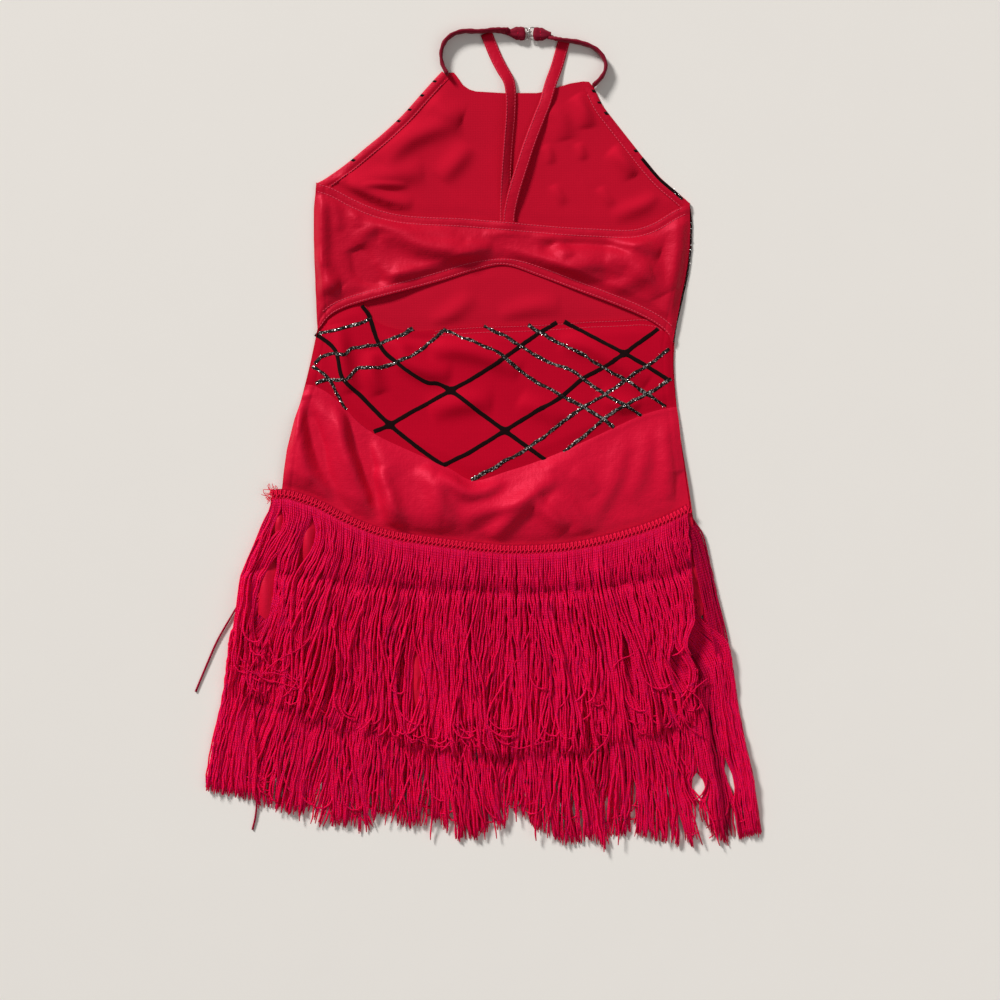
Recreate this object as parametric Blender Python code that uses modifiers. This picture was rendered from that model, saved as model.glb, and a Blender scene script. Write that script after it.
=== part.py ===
"""A dance leotard with a fringe skirt, laid flat on its front with the open back up.

Metres in the scene, +Z up. The tables and sizes below are in millimetres.
The origin is under the middle of the garment's outline, +Y runs towards the neck
and +X to the right of somebody who looks down on the back. The layers lie on each
other with a small gap between them: front fringe, front panel, back panels, back fringe.
"""
import math
import random
from collections import namedtuple

import bmesh
import bpy
import numpy as np
from mathutils import Vector

MM = 0.001

# Driving sizes, millimetres
WALL = 1.4
GAP = 0.3
SEAM_GAP = 0.55
CASING_WIDTH = 8.0
CASING_WALL = 1.0
STRAP_WIDTH = 11.4
STRAP_WALL = 1.4
NECK_BAND_WIDTH = 9.5
NECK_BAND_WALL = 2.4
TAB_WALL = 1.2
TAB_BEND = 1.6
RING_WIRE = 0.55
HOOK_WIRE = 0.5
FOLD_EDGE = 14.0
STRAND_WIDTH = 3.0
STRAND_DEPTH = 1.3
HEADER_WIDTH = 10.0
STRAND_STEP = 38.0
FIRST_LEVEL = -90.0
FIRST_DROP = 8.0
LAST_DROP = 13.0
SETTLE_LENGTH = 110.0
TIP_SHARE = 0.6
CLUMPS = 12
CLUMP_SHIFT = 2.6
SWINGS = 3
SWING_SHIFT = 2.4
LAYER_EASE = 0.05

# Heights of the layers at the hips, from the floor up
FLOOR_GAP = 0.3
FRONT_UPPER_Z = FLOOR_GAP
FRONT_LOWER_Z = FRONT_UPPER_Z + STRAND_DEPTH + GAP
HIP_RISE = FRONT_LOWER_Z + STRAND_DEPTH + GAP
HIP_TOP = HIP_RISE + 2 * WALL + GAP + LAYER_EASE
BACK_HEADER_Z = HIP_TOP + GAP
BACK_LOWER_Z = BACK_HEADER_Z
BACK_UPPER_Z = BACK_LOWER_Z + STRAND_DEPTH + 2 * GAP
RISE_FROM_Y = 35.0
RISE_TO_Y = -45.0

# The band's lower part lies on the lower back panel's upper corners
BAND_LIFT = WALL + GAP
BAND_LIFT_FROM_Y = 158.0
BAND_LIFT_TO_Y = 132.0

# Past the leg openings the back fringe sinks on to the front fringe
BRIEF_DROP = BACK_LOWER_Z - HIP_RISE
DROP_START = 45.0
DROP_END = 110.0

Section = namedtuple("Section", "left_x left_y right_x right_y sag")
BandColumn = namedtuple("BandColumn", "top_x top_y arch_x arch_y")
BackColumn = namedtuple("BackColumn", "top_x top_y seam_x seam_y leg_x leg_y")
Fold = namedtuple("Fold", "from_x from_y to_x to_y width height")
EdgePoint = namedtuple("EdgePoint", "y left_x right_x")
LinePoint = namedtuple("LinePoint", "x y")
StrapPoint = namedtuple("StrapPoint", "x y z")
NeckPoint = namedtuple("NeckPoint", "x y roll")
WirePoint = namedtuple("WirePoint", "x half_y rise")
FringeRow = namedtuple("FringeRow", "name header hem count header_z strand_z drops seed")
Look = namedtuple("Look", "name color roughness metallic")

SATIN = Look("satin_spandex", (0.55, 0.012, 0.032, 1.0), 0.35, 0.0)
KNIT = Look("matte_stretch_knit", (0.42, 0.012, 0.035, 1.0), 0.7, 0.0)
INSET = Look("lattice_inset_knit", (0.5, 0.010, 0.035, 1.0), 0.6, 0.0)
ELASTIC = Look("covered_elastic", (0.45, 0.012, 0.04, 1.0), 0.55, 0.0)
NECK = Look("folded_neck_band", (0.3, 0.008, 0.03, 1.0), 0.55, 0.0)
STEEL = Look("plated_steel_wire", (0.75, 0.75, 0.76, 1.0), 0.25, 1.0)
CHAINETTE = Look("chainette_fringe", (0.5, 0.008, 0.04, 1.0), 0.6, 0.0)

# The front panel, from the neckline down to the crotch
FRONT_SECTIONS = (
    Section(-36, 348, 105, 335.5, 13),
    Section(-44, 339.5, 109, 326.5, 12),
    Section(-57, 325, 115, 315, 8),
    Section(-73, 307, 124, 303, 4),
    Section(-92, 289, 135, 289, 1),
    Section(-109, 275, 146, 275, 0),
    Section(-127, 260, 158, 260, 0),
    Section(-146, 246.5, 171, 245.5, 0),
    Section(-156, 241, 185, 233.5, 0),
    Section(-157, 224, 198, 222, 0),
    Section(-158, 193, 200, 193, 0),
    Section(-157, 161, 197, 161, 0),
    Section(-156, 132, 191, 132, 0),
    Section(-155, 104, 185, 104, 0),
    Section(-162, 72, 183, 72, 0),
    Section(-170, 40, 185, 40, 0),
    Section(-174, 26, 187, 26, 0),
    Section(-179, 10, 188, 10, 0),
    Section(-183, -6, 190, -6, 0),
    Section(-187, -22, 193, -22, 0),
    Section(-190, -38, 195, -38, 0),
    Section(-193, -54, 198, -54, 0),
    Section(-205, -98, 203, -98, 0),
    Section(-220, -158, 211, -163, 0),
    Section(-172, -200, 174, -202, 0),
    Section(-124, -243, 130, -244, 0),
    Section(-91, -272, 98, -272, 0),
    Section(-72, -290, 75, -291, 0),
)
FRONT_COLUMNS = 14
SAG_SHAPE = 0.8
LEFT_ARMHOLE_ROWS = 7
RIGHT_ARMHOLE_ROWS = 8

# The back band, from the left side seam to the right one
BAND_COLUMNS = (
    BandColumn(-156, 243, -154, 97),
    BandColumn(-140, 238, -151, 106),
    BandColumn(-119, 227, -142, 117),
    BandColumn(-97, 218, -127, 125),
    BandColumn(-75, 213, -104, 132),
    BandColumn(-50, 211, -74, 140),
    BandColumn(-22, 210, -38, 150),
    BandColumn(4, 208, -4, 160.5),
    BandColumn(25, 206, 23, 165),
    BandColumn(50, 204, 54, 155),
    BandColumn(80, 201.5, 88, 142),
    BandColumn(111, 200, 120, 130),
    BandColumn(142, 199, 149, 118),
    BandColumn(163, 205, 167, 108),
    BandColumn(180, 215, 177, 99),
    BandColumn(198, 224, 181, 90),
)
BAND_CELLS = 30
BAND_ROWS = 7

# The lower back panel and the hip panel meet at the V seam
BACK_COLUMNS = (
    BackColumn(-154, 109, -166, 52, -220, -157),
    BackColumn(-145, 119, -157, 50, -206, -169),
    BackColumn(-131, 127, -143, 42, -187, -186),
    BackColumn(-118, 131.5, -128, 28, -166, -205),
    BackColumn(-109, 126, -115, 15, -145, -224),
    BackColumn(-101, 113, -98, 3, -124, -243),
    BackColumn(-84, 105, -75, -8, -91, -272),
    BackColumn(-58, 102, -50, -19, -72, -288),
    BackColumn(-28, 105, -30, -28, -38, -292),
    BackColumn(2, 107, -7, -39.5, 0, -293),
    BackColumn(25, 107.5, 24, -31, 38, -292),
    BackColumn(50, 108.5, 53, -21.5, 75, -290),
    BackColumn(76, 110, 79, -11, 98, -271),
    BackColumn(104, 112, 105, 1, 130, -243),
    BackColumn(132, 113, 130, 13, 158, -217),
    BackColumn(154, 114, 152, 23, 180, -196),
    BackColumn(170, 111, 168, 28, 197, -180),
    BackColumn(181, 102, 182, 31, 210, -166),
)
BACK_CELLS = 34
LOWER_BACK_ROWS = 7
HIP_FOLD_ROWS = 8
HIP_HIDDEN_ROWS = 4
HEADER_CLEAR = 3.0

# Soft ridges of the cloth, each along a line, with its half width and its height
BAND_FOLDS = (
    Fold(-132, 208, -58, 187, 15, 4.2),
    Fold(-118, 158, -36, 166, 13, 4.6),
    Fold(-146, 176, -120, 186, 13, 3.0),
    Fold(-22, 190, 34, 182, 15, 3.6),
    Fold(62, 186, 84, 184, 14, 3.4),
    Fold(104, 184, 146, 160, 15, 4.6),
    Fold(56, 170, 118, 148, 11, 3.2),
    Fold(170, 190, 172, 140, 12, 2.8),
)
LOWER_BACK_FOLDS = (
    Fold(-96, 70, -34, 86, 14, 3.2),
    Fold(-74, 22, 6, 18, 17, 2.6),
    Fold(58, 62, 128, 76, 15, 2.6),
    Fold(20, 40, 70, 30, 16, 2.2),
)
HIP_FOLDS = (
    Fold(-152, 16, -140, -34, 11, 3.6),
    Fold(-108, -16, -84, -66, 13, 4.6),
    Fold(-66, -40, -44, -80, 12, 4.2),
    Fold(-18, -66, 34, -78, 12, 3.4),
    Fold(44, -42, 92, -34, 13, 4.4),
    Fold(116, -20, 108, -72, 12, 4.6),
    Fold(156, 4, 148, -50, 13, 4.8),
)

# The fringe's outer edges, and the lines of its headers and hems
SKIRT_EDGES = (
    EdgePoint(-50, -200, 199),
    EdgePoint(-96, -215, 210),
    EdgePoint(-153, -232, 223),
    EdgePoint(-196, -238, 231),
    EdgePoint(-238, -245, 239),
    EdgePoint(-281, -253, 249),
    EdgePoint(-324, -261, 258),
    EdgePoint(-392, -268, 269),
)
UPPER_HEADER = (
    LinePoint(-198, -53),
    LinePoint(-183, -53),
    LinePoint(-157, -61),
    LinePoint(-130, -75),
    LinePoint(-104, -86),
    LinePoint(-77, -93),
    LinePoint(-24, -100.5),
    LinePoint(20, -105),
    LinePoint(49, -105),
    LinePoint(79, -103),
    LinePoint(113, -97),
    LinePoint(152, -86),
    LinePoint(180, -75),
    LinePoint(197, -66),
)
LOWER_HEADER = (
    LinePoint(-214, -149),
    LinePoint(-150, -164),
    LinePoint(-60, -173),
    LinePoint(20, -177),
    LinePoint(100, -174),
    LinePoint(160, -167),
    LinePoint(205, -157),
)
FRONT_HEADER = (
    LinePoint(-192, -62),
    LinePoint(-120, -84),
    LinePoint(-40, -98),
    LinePoint(40, -99),
    LinePoint(120, -88),
    LinePoint(196, -68),
)
UPPER_HEM = (
    LinePoint(-250, -240),
    LinePoint(-200, -250),
    LinePoint(-150, -264),
    LinePoint(-100, -286),
    LinePoint(-50, -300),
    LinePoint(0, -308),
    LinePoint(60, -308),
    LinePoint(120, -298),
    LinePoint(180, -282),
    LinePoint(245, -262),
)
LOWER_HEM = (
    LinePoint(-268, -326),
    LinePoint(-250, -339),
    LinePoint(-228, -342),
    LinePoint(-213, -368),
    LinePoint(-200, -346),
    LinePoint(-178, -352),
    LinePoint(-150, -367),
    LinePoint(-117, -377),
    LinePoint(-90, -371),
    LinePoint(-56, -366),
    LinePoint(-29, -383),
    LinePoint(-5, -379),
    LinePoint(22, -368),
    LinePoint(56, -370),
    LinePoint(85, -384),
    LinePoint(122, -395),
    LinePoint(158, -377),
    LinePoint(194, -390),
    LinePoint(232, -385),
    LinePoint(250, -376),
    LinePoint(266, -372),
)
HEM_JITTER = 7.0
LEG_LINE = tuple(LinePoint(column.leg_x, column.leg_y) for column in BACK_COLUMNS)

FRINGE_ROWS = (
    FringeRow("fringe_back_upper", UPPER_HEADER, UPPER_HEM, 56,
              BACK_HEADER_Z, BACK_UPPER_Z, True, 11),
    FringeRow("fringe_back_lower", LOWER_HEADER, LOWER_HEM, 50,
              BACK_HEADER_Z, BACK_LOWER_Z, True, 23),
    FringeRow("fringe_front_upper", FRONT_HEADER, UPPER_HEM, 40,
              FRONT_LOWER_Z, FRONT_UPPER_Z, False, 37),
    FringeRow("fringe_front_lower", LOWER_HEADER, LOWER_HEM, 36,
              FRONT_LOWER_Z, FRONT_LOWER_Z, False, 53),
)
# One front strand has strayed out of the skirt on the left
STRAY_ROW = "fringe_front_upper"
STRAY_STRAND = (
    LinePoint(-206, -100),
    LinePoint(-222, -142),
    LinePoint(-241, -172),
    LinePoint(-256, -200),
    LinePoint(-263, -224),
    LinePoint(-271, -240),
)

# The shoulder straps rise over the neckline, and the right one crosses over the left
LEFT_STRAP = (
    StrapPoint(2, 384.2, 0.5),
    StrapPoint(10.5, 361, 0.8),
    StrapPoint(18, 345, 3.3),
    StrapPoint(24, 329, 3.4),
    StrapPoint(26.5, 314, 3.2),
    StrapPoint(27, 297, 1.9),
    StrapPoint(25.5, 272, 1.75),
    StrapPoint(23.5, 246, 1.75),
    StrapPoint(22.5, 225, 1.75),
    StrapPoint(22, 208.8, 1.75),
)
RIGHT_STRAP = (
    StrapPoint(80.5, 375.5, 0.5),
    StrapPoint(74.5, 357, 0.8),
    StrapPoint(70, 345, 3.2),
    StrapPoint(64.5, 330, 3.5),
    StrapPoint(60, 315, 3.4),
    StrapPoint(53.5, 299, 2.1),
    StrapPoint(46, 280, 2.2),
    StrapPoint(38.5, 262, 3.5),
    StrapPoint(31.5, 242, 3.6),
    StrapPoint(27.5, 225, 3.6),
    StrapPoint(26, 208.8, 3.6),
)

# The neck band is flat at both its ends and stands on edge between them
LEFT_NECK_BAND = (
    NeckPoint(-38.2, 350.6, 0),
    NeckPoint(-40.5, 358, 55),
    NeckPoint(-40, 368, 90),
    NeckPoint(-36, 377.5, 90),
    NeckPoint(-27, 384, 90),
    NeckPoint(-15, 386, 90),
    NeckPoint(0, 385.8, 90),
    NeckPoint(13, 386, 80),
    NeckPoint(22, 385.0, 40),
    NeckPoint(30.8, 384.4, 0),
)
RIGHT_NECK_BAND = (
    NeckPoint(109.2, 338.6, 0),
    NeckPoint(115.5, 344.5, 50),
    NeckPoint(118, 354, 90),
    NeckPoint(113.5, 365, 90),
    NeckPoint(103, 373, 90),
    NeckPoint(91, 376.5, 90),
    NeckPoint(79, 378.5, 85),
    NeckPoint(69.5, 382.8, 45),
    NeckPoint(60.9, 384.2, 0),
)
CLASP_Y = 384.3
LEFT_TAB_X = 31.8
RIGHT_TAB_X = 59.9
HOOK_BAR_X = 40.6
RING_BAR_X = 51.1
RING_FREE_X = 46.0
HOOK_Z = 2.7
RING_Z = HOOK_Z + 1.5
CLASP_HALF = NECK_BAND_WIDTH / 2 + GAP + RING_WIRE
RING_CORNER = 0.9
BEND_STEPS = 6
NECK_BAND_LIFT = 0.15
# Half of the hook's wire: across the tab's bend, out, in to the tongue, up and back over
HALF_HOOK = (
    WirePoint(HOOK_BAR_X, CLASP_HALF - 0.8, 0.0),
    WirePoint(HOOK_BAR_X + 0.8, CLASP_HALF, 0.0),
    WirePoint(43.4, CLASP_HALF, 0.0),
    WirePoint(44.2, CLASP_HALF - 1.4, 0.0),
    WirePoint(44.6, 1.7, 0.0),
    WirePoint(46.6, 1.6, 0.0),
    WirePoint(47.5, 1.6, 0.7),
    WirePoint(47.5, 1.6, 2.3),
    WirePoint(46.6, 1.6, 3.0),
    WirePoint(45.2, 1.5, 3.0),
    WirePoint(44.4, 0.8, 3.0),
)


def clear_scene():
    for existing in list(bpy.data.objects):
        bpy.data.objects.remove(existing, do_unlink=True)


def new_collection(name):
    collection = bpy.data.collections.new(name)
    bpy.context.scene.collection.children.link(collection)
    return collection


def look_material(look):
    """One Principled material for each look, made once."""
    found = bpy.data.materials.get(look.name)
    if found:
        return found
    material = bpy.data.materials.new(look.name)
    material.use_nodes = True
    shader = material.node_tree.nodes["Principled BSDF"]
    shader.inputs["Base Color"].default_value = look.color
    shader.inputs["Roughness"].default_value = look.roughness
    shader.inputs["Metallic"].default_value = look.metallic
    material.diffuse_color = look.color
    return material


def add_piece(name, mesh_data, look):
    """Put a finished bmesh or curve into the leotard's collection."""
    if isinstance(mesh_data, bmesh.types.BMesh):
        mesh = bpy.data.meshes.new(name)
        mesh_data.to_mesh(mesh)
        mesh_data.free()
        mesh_data = mesh
    piece = bpy.data.objects.new(name, mesh_data)
    piece.data.materials.append(look_material(look))
    LEOTARD.objects.link(piece)
    return piece


def thicken(piece, wall, offset=1.0):
    """Give a sheet its wall; offset 1 adds it above the sheet, 0 on both sides."""
    wall_modifier = piece.modifiers.new("wall", 'SOLIDIFY')
    wall_modifier.thickness = wall * MM
    wall_modifier.offset = offset
    wall_modifier.use_rim = True


def sheet(columns, rows, place):
    """A grid of columns by rows whose point (column, row) goes where place says."""
    bm = bmesh.new()
    bmesh.ops.create_grid(bm, x_segments=columns, y_segments=rows, size=0.5)
    for vert in bm.verts:
        column = round((vert.co.x + 0.5) * columns)
        row = round((vert.co.y + 0.5) * rows)
        vert.co = place(column, row) * MM
    return bm


def smooth_step(value):
    value = min(max(value, 0.0), 1.0)
    return value * value * (3 - 2 * value)


def blend_table(table, fraction):
    """A row between the rows of a table, at a fraction of its length."""
    steps = np.linspace(0.0, 1.0, len(table))
    values = np.array(table, dtype=float)
    return [float(np.interp(fraction, steps, values[:, item])) for item in range(values.shape[1])]


def line_y(line, x):
    """Height of a line of points at x, level beyond its ends."""
    return float(np.interp(x, [point.x for point in line], [point.y for point in line]))


def smooth_path(points, pieces):
    """Points on a smooth curve through all the given ones, Catmull-Rom."""
    values = [np.array(point, dtype=float) for point in points]
    ends = [2 * values[0] - values[1]] + values + [2 * values[-1] - values[-2]]
    path = []
    for index in range(1, len(ends) - 2):
        before, start, end, after = ends[index - 1:index + 3]
        for step in range(pieces):
            t = step / pieces
            path.append(0.5 * (2 * start + (end - before) * t
                               + (2 * before - 5 * start + 4 * end - after) * t ** 2
                               + (3 * start - before - 3 * end + after) * t ** 3))
    path.append(values[-1])
    return path


def side_direction(path, index):
    """Unit vector in the floor plane, across the path at this point."""
    before = path[max(index - 1, 0)]
    after = path[min(index + 1, len(path) - 1)]
    along = Vector((after[0] - before[0], after[1] - before[1], 0.0)).normalized()
    return Vector((-along.y, along.x, 0.0))


def front_underside(y):
    """Underside of the front panel: on the floor, then up on to the front fringe."""
    return HIP_RISE * smooth_step((RISE_FROM_Y - y) / (RISE_FROM_Y - RISE_TO_Y))


def back_underside(y):
    return front_underside(y) + WALL + GAP + LAYER_EASE


def band_underside(y):
    return back_underside(y) + BAND_LIFT * smooth_step(
        (BAND_LIFT_FROM_Y - y) / (BAND_LIFT_FROM_Y - BAND_LIFT_TO_Y))


def fold_height(folds, x, y):
    """Height that the ridges give the cloth at a point."""
    height = 0.0
    for fold in folds:
        run = Vector((fold.to_x - fold.from_x, fold.to_y - fold.from_y))
        here = Vector((x - fold.from_x, y - fold.from_y))
        share = min(max(here.dot(run) / run.length_squared, 0.0), 1.0)
        away = (here - run * share).length / fold.width
        height += fold.height * math.exp(-away * away)
    return height


def edge_fade(distance):
    """Seams hold the cloth down: 0 on the edge, 1 once the cloth is free."""
    return smooth_step(distance / FOLD_EDGE)


def front_point(column, row):
    """Row 0 is the crotch, and the outer columns are as wide as a casing."""
    section = FRONT_SECTIONS[len(FRONT_SECTIONS) - 1 - row]
    left = Vector((section.left_x, section.left_y))
    right = Vector((section.right_x, section.right_y))
    width = (right - left).length
    inner = (width - 2 * CASING_WIDTH) / (FRONT_COLUMNS - 2)
    if column == 0:
        along = 0.0
    elif column == FRONT_COLUMNS:
        along = width
    else:
        along = CASING_WIDTH + (column - 1) * inner
    share = along / width
    flat = left.lerp(right, share)
    y = flat.y - section.sag * math.sin(math.pi * share) ** SAG_SHAPE
    return Vector((flat.x, y, front_underside(y)))


def make_front_panel():
    rows = len(FRONT_SECTIONS) - 1
    panel = add_piece("front_panel", sheet(FRONT_COLUMNS, rows, front_point), KNIT)
    thicken(panel, WALL)


def on_front(column, row):
    point = front_point(column, row)
    point.z += WALL + GAP
    return point


def make_armhole_casings():
    """Turned edges: the front panel's own outer cells, moved up on to its inside."""
    top_row = len(FRONT_SECTIONS) - 1

    def left_place(column, row):
        point = on_front(column, top_row - LEFT_ARMHOLE_ROWS + row)
        return point - Vector((GAP, 0, 0)) * column

    def right_place(column, row):
        point = on_front(FRONT_COLUMNS - 1 + column, top_row - RIGHT_ARMHOLE_ROWS + row)
        return point + Vector((GAP, 0, 0)) * (1 - column)

    for name, rows, place in (
            ("armhole_casing_left", LEFT_ARMHOLE_ROWS, left_place),
            ("armhole_casing_right", RIGHT_ARMHOLE_ROWS, right_place)):
        casing = add_piece(name, sheet(1, rows, place), ELASTIC)
        thicken(casing, CASING_WALL)


def band_flat_point(column, row):
    """Row 0 is the arch; the first and last rows are as wide as a casing."""
    top_x, top_y, arch_x, arch_y = blend_table(BAND_COLUMNS, column / BAND_CELLS)
    arch = Vector((arch_x, arch_y))
    top = Vector((top_x, top_y))
    length = (top - arch).length
    inner = (length - 2 * CASING_WIDTH) / (BAND_ROWS - 2)
    if row == 0:
        along = 0.0
    elif row == BAND_ROWS:
        along = length
    else:
        along = CASING_WIDTH + (row - 1) * inner
    return arch.lerp(top, along / length), min(along, length - along)


def band_point(column, row):
    flat, from_edge = band_flat_point(column, row)
    left = BAND_COLUMNS[0].top_x
    right = BAND_COLUMNS[-1].top_x
    from_side = min(flat.x - left, right - flat.x)
    free = edge_fade(max(from_edge - CASING_WIDTH, 0.0)) * edge_fade(from_side)
    z = band_underside(flat.y) + free * fold_height(BAND_FOLDS, flat.x, flat.y)
    return Vector((flat.x, flat.y, z))


def make_back_band():
    band = add_piece("back_band", sheet(BAND_CELLS, BAND_ROWS, band_point), SATIN)
    thicken(band, WALL)
    for name, first_row in (("band_arch_casing", 0), ("band_top_casing", BAND_ROWS - 1)):
        def place(column, row, first=first_row):
            return band_point(column, first + row) + Vector((0, 0, WALL + GAP + LAYER_EASE))

        casing = add_piece(name, sheet(BAND_CELLS, 1, place), ELASTIC)
        thicken(casing, CASING_WALL)


def header_top(x):
    """Where the upper fringe header starts to lie on the hip panel."""
    return line_y(UPPER_HEADER, x) + HEADER_WIDTH / 2 + HEADER_CLEAR


def back_point(start, end, share, folds, header_limit=False):
    """A point of a back panel, between its upper and its lower edge."""
    flat = start.lerp(end, share)
    length = (end - start).length
    from_edge = min(share, 1 - share) * length
    left = float(np.interp(flat.y, [-157, 52, 109], [-220, -166, -154]))
    right = float(np.interp(flat.y, [-166, 31, 102], [210, 182, 181]))
    free = edge_fade(from_edge) * edge_fade(min(flat.x - left, right - flat.x))
    if header_limit:
        free *= edge_fade(flat.y - header_top(flat.x))
    z = back_underside(flat.y) + free * fold_height(folds, flat.x, flat.y)
    return Vector((flat.x, flat.y, z))


def lower_back_point(column, row):
    """Row 0 is the V seam."""
    values = BackColumn(*blend_table(BACK_COLUMNS, column / BACK_CELLS))
    seam = Vector((values.seam_x, values.seam_y))
    top = Vector((values.top_x, values.top_y))
    return back_point(seam, top, row / LOWER_BACK_ROWS, LOWER_BACK_FOLDS)


def hip_point(column, row):
    """The last row is the V seam; one row runs just above the fringe header."""
    values = BackColumn(*blend_table(BACK_COLUMNS, column / BACK_CELLS))
    seam = Vector((values.seam_x, values.seam_y - SEAM_GAP))
    leg = Vector((values.leg_x, values.leg_y))
    shown = 0.5
    for _ in range(4):
        shown = (seam.y - header_top(seam.lerp(leg, shown).x)) / (seam.y - leg.y)
    from_seam = HIP_FOLD_ROWS + HIP_HIDDEN_ROWS - row
    if from_seam <= HIP_FOLD_ROWS:
        share = shown * from_seam / HIP_FOLD_ROWS
    else:
        share = shown + (1 - shown) * (from_seam - HIP_FOLD_ROWS) / HIP_HIDDEN_ROWS
    return back_point(seam, leg, share, HIP_FOLDS, header_limit=True)


def make_lower_back():
    panel = add_piece("lower_back_panel", sheet(BACK_CELLS, LOWER_BACK_ROWS, lower_back_point), INSET)
    thicken(panel, WALL)


def make_hip_panel():
    rows = HIP_FOLD_ROWS + HIP_HIDDEN_ROWS
    panel = add_piece("hip_panel", sheet(BACK_CELLS, rows, hip_point), SATIN)
    thicken(panel, WALL)


def make_strap(name, route):
    """A flat strap, cut along X at its ends, where it meets the bands."""
    path = smooth_path(route, 2)

    def place(column, row):
        x, y, z = path[row]
        side = side_direction(path, row)
        if row in (0, len(path) - 1):
            side = Vector((1 / side.x, 0, 0))
        return Vector((x, y, z)) - side * STRAP_WIDTH * (column - 0.5)

    strap = add_piece(name, sheet(1, len(path) - 1, place), ELASTIC)
    thicken(strap, STRAP_WALL)


def make_neck_band(name, route):
    """A band that is flat at its ends and turns on edge between them."""
    path = smooth_path(route, 3)

    def place(column, row):
        x, y, roll = path[row]
        turn = math.radians(min(max(roll, 0.0), 90.0))
        middle = NECK_BAND_LIFT
        middle += NECK_BAND_WIDTH / 2 * math.sin(turn) + NECK_BAND_WALL / 2 * math.cos(turn)
        across = side_direction(path, row) * math.cos(turn) + Vector((0, 0, math.sin(turn)))
        return Vector((x, y, middle)) + across * NECK_BAND_WIDTH * (column - 0.5)

    band = add_piece(name, sheet(1, len(path) - 1, place), NECK)
    thicken(band, NECK_BAND_WALL, 0.0)


def make_tab(name, open_x, bar_x, height):
    """The band's end, folded round a bar: under it, round the bend, back over it."""
    toward = 1 if bar_x > open_x else -1
    profile = [(open_x, height - TAB_BEND)]
    for step in range(BEND_STEPS + 1):
        angle = -math.pi / 2 + math.pi * step / BEND_STEPS
        profile.append((bar_x + toward * TAB_BEND * math.cos(angle), height + TAB_BEND * math.sin(angle)))
    profile.append((open_x, height + TAB_BEND))

    def place(column, row):
        x, z = profile[row]
        return Vector((x, CLASP_Y + NECK_BAND_WIDTH * (column - 0.5), z))

    tab = add_piece(name, sheet(1, len(profile) - 1, place), NECK)
    thicken(tab, TAB_WALL, 0.0)


def make_wire(name, points, radius):
    """A closed loop of round wire."""
    curve = bpy.data.curves.new(name, 'CURVE')
    curve.dimensions = '3D'
    curve.bevel_depth = radius * MM
    curve.bevel_resolution = 1
    spline = curve.splines.new('POLY')
    spline.points.add(len(points) - 1)
    for item, (x, y, z) in zip(spline.points, points):
        item.co = (x * MM, y * MM, z * MM, 1.0)
    spline.use_cyclic_u = True
    add_piece(name, curve, STEEL)


def make_clasp():
    """A bent wire hook on one tab, through a wire ring on the other."""
    make_tab("neck_tab_left", LEFT_TAB_X, HOOK_BAR_X, HOOK_Z)
    make_tab("neck_tab_right", RIGHT_TAB_X, RING_BAR_X, RING_Z)
    ring = []
    for sign_x, sign_y in ((1, -1), (1, 1), (-1, 1), (-1, -1)):
        corner_x = RING_BAR_X if sign_x > 0 else RING_FREE_X
        corner_y = CLASP_Y + sign_y * CLASP_HALF
        on_arm = (corner_x - sign_x * RING_CORNER, corner_y, RING_Z)
        on_bar = (corner_x, corner_y - sign_y * RING_CORNER, RING_Z)
        ring += [on_bar, on_arm] if sign_x == sign_y else [on_arm, on_bar]
    make_wire("neck_ring", ring, RING_WIRE)
    there = [(point.x, CLASP_Y + point.half_y, HOOK_Z + point.rise) for point in HALF_HOOK]
    back = [(point.x, CLASP_Y - point.half_y, HOOK_Z + point.rise) for point in reversed(HALF_HOOK)]
    make_wire("neck_hook", there + back, HOOK_WIRE)


def skirt_x(share, y):
    """Where a strand at this share of the skirt's width is, at height y."""
    levels = [edge.y for edge in reversed(SKIRT_EDGES)]
    left = float(np.interp(y, levels, [edge.left_x for edge in reversed(SKIRT_EDGES)]))
    right = float(np.interp(y, levels, [edge.right_x for edge in reversed(SKIRT_EDGES)]))
    return left + (right - left) * share


def brief_drop(x, y):
    """How far the back fringe has sunk past the leg opening."""
    past = line_y(LEG_LINE, x) - y
    return BRIEF_DROP * smooth_step((past - DROP_START) / (DROP_END - DROP_START))


def strand_sway(share, depth, phase):
    """Strands gather in soft clumps further down, never closer than their width."""
    clump = CLUMP_SHIFT * math.sin(2 * math.pi * CLUMPS * share + phase)
    swing = SWING_SHIFT * math.sin(2 * math.pi * SWINGS * share + 2 * depth + phase)
    return (clump + swing) * depth


def strand_route(row, share, root, chance):
    """Points down one strand, at levels that all the rows share."""
    tip_x = skirt_x(share, line_y(row.hem, skirt_x(share, row.hem[0].y)))
    tip_y = line_y(row.hem, tip_x) + chance.uniform(0.0, HEM_JITTER)
    levels = []
    level = FIRST_LEVEL
    while level > tip_y + LAST_DROP:
        if level < root.y - FIRST_DROP:
            levels.append(level)
        level -= STRAND_STEP
    levels.append(tip_y)
    route = []
    for level in levels:
        depth = (root.y - level) / (root.y - tip_y)
        settle = smooth_step((root.y - level) / SETTLE_LENGTH)
        x = root.x + (skirt_x(share, level) - root.x) * settle
        x += strand_sway(share, depth, row.seed)
        z = row.strand_z
        if row.drops:
            z -= brief_drop(x, level)
        route.append(Vector((x, level, z)))
    return route


def stray_route(row):
    return [Vector((point.x, point.y, row.strand_z)) for point in STRAY_STRAND]


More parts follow.
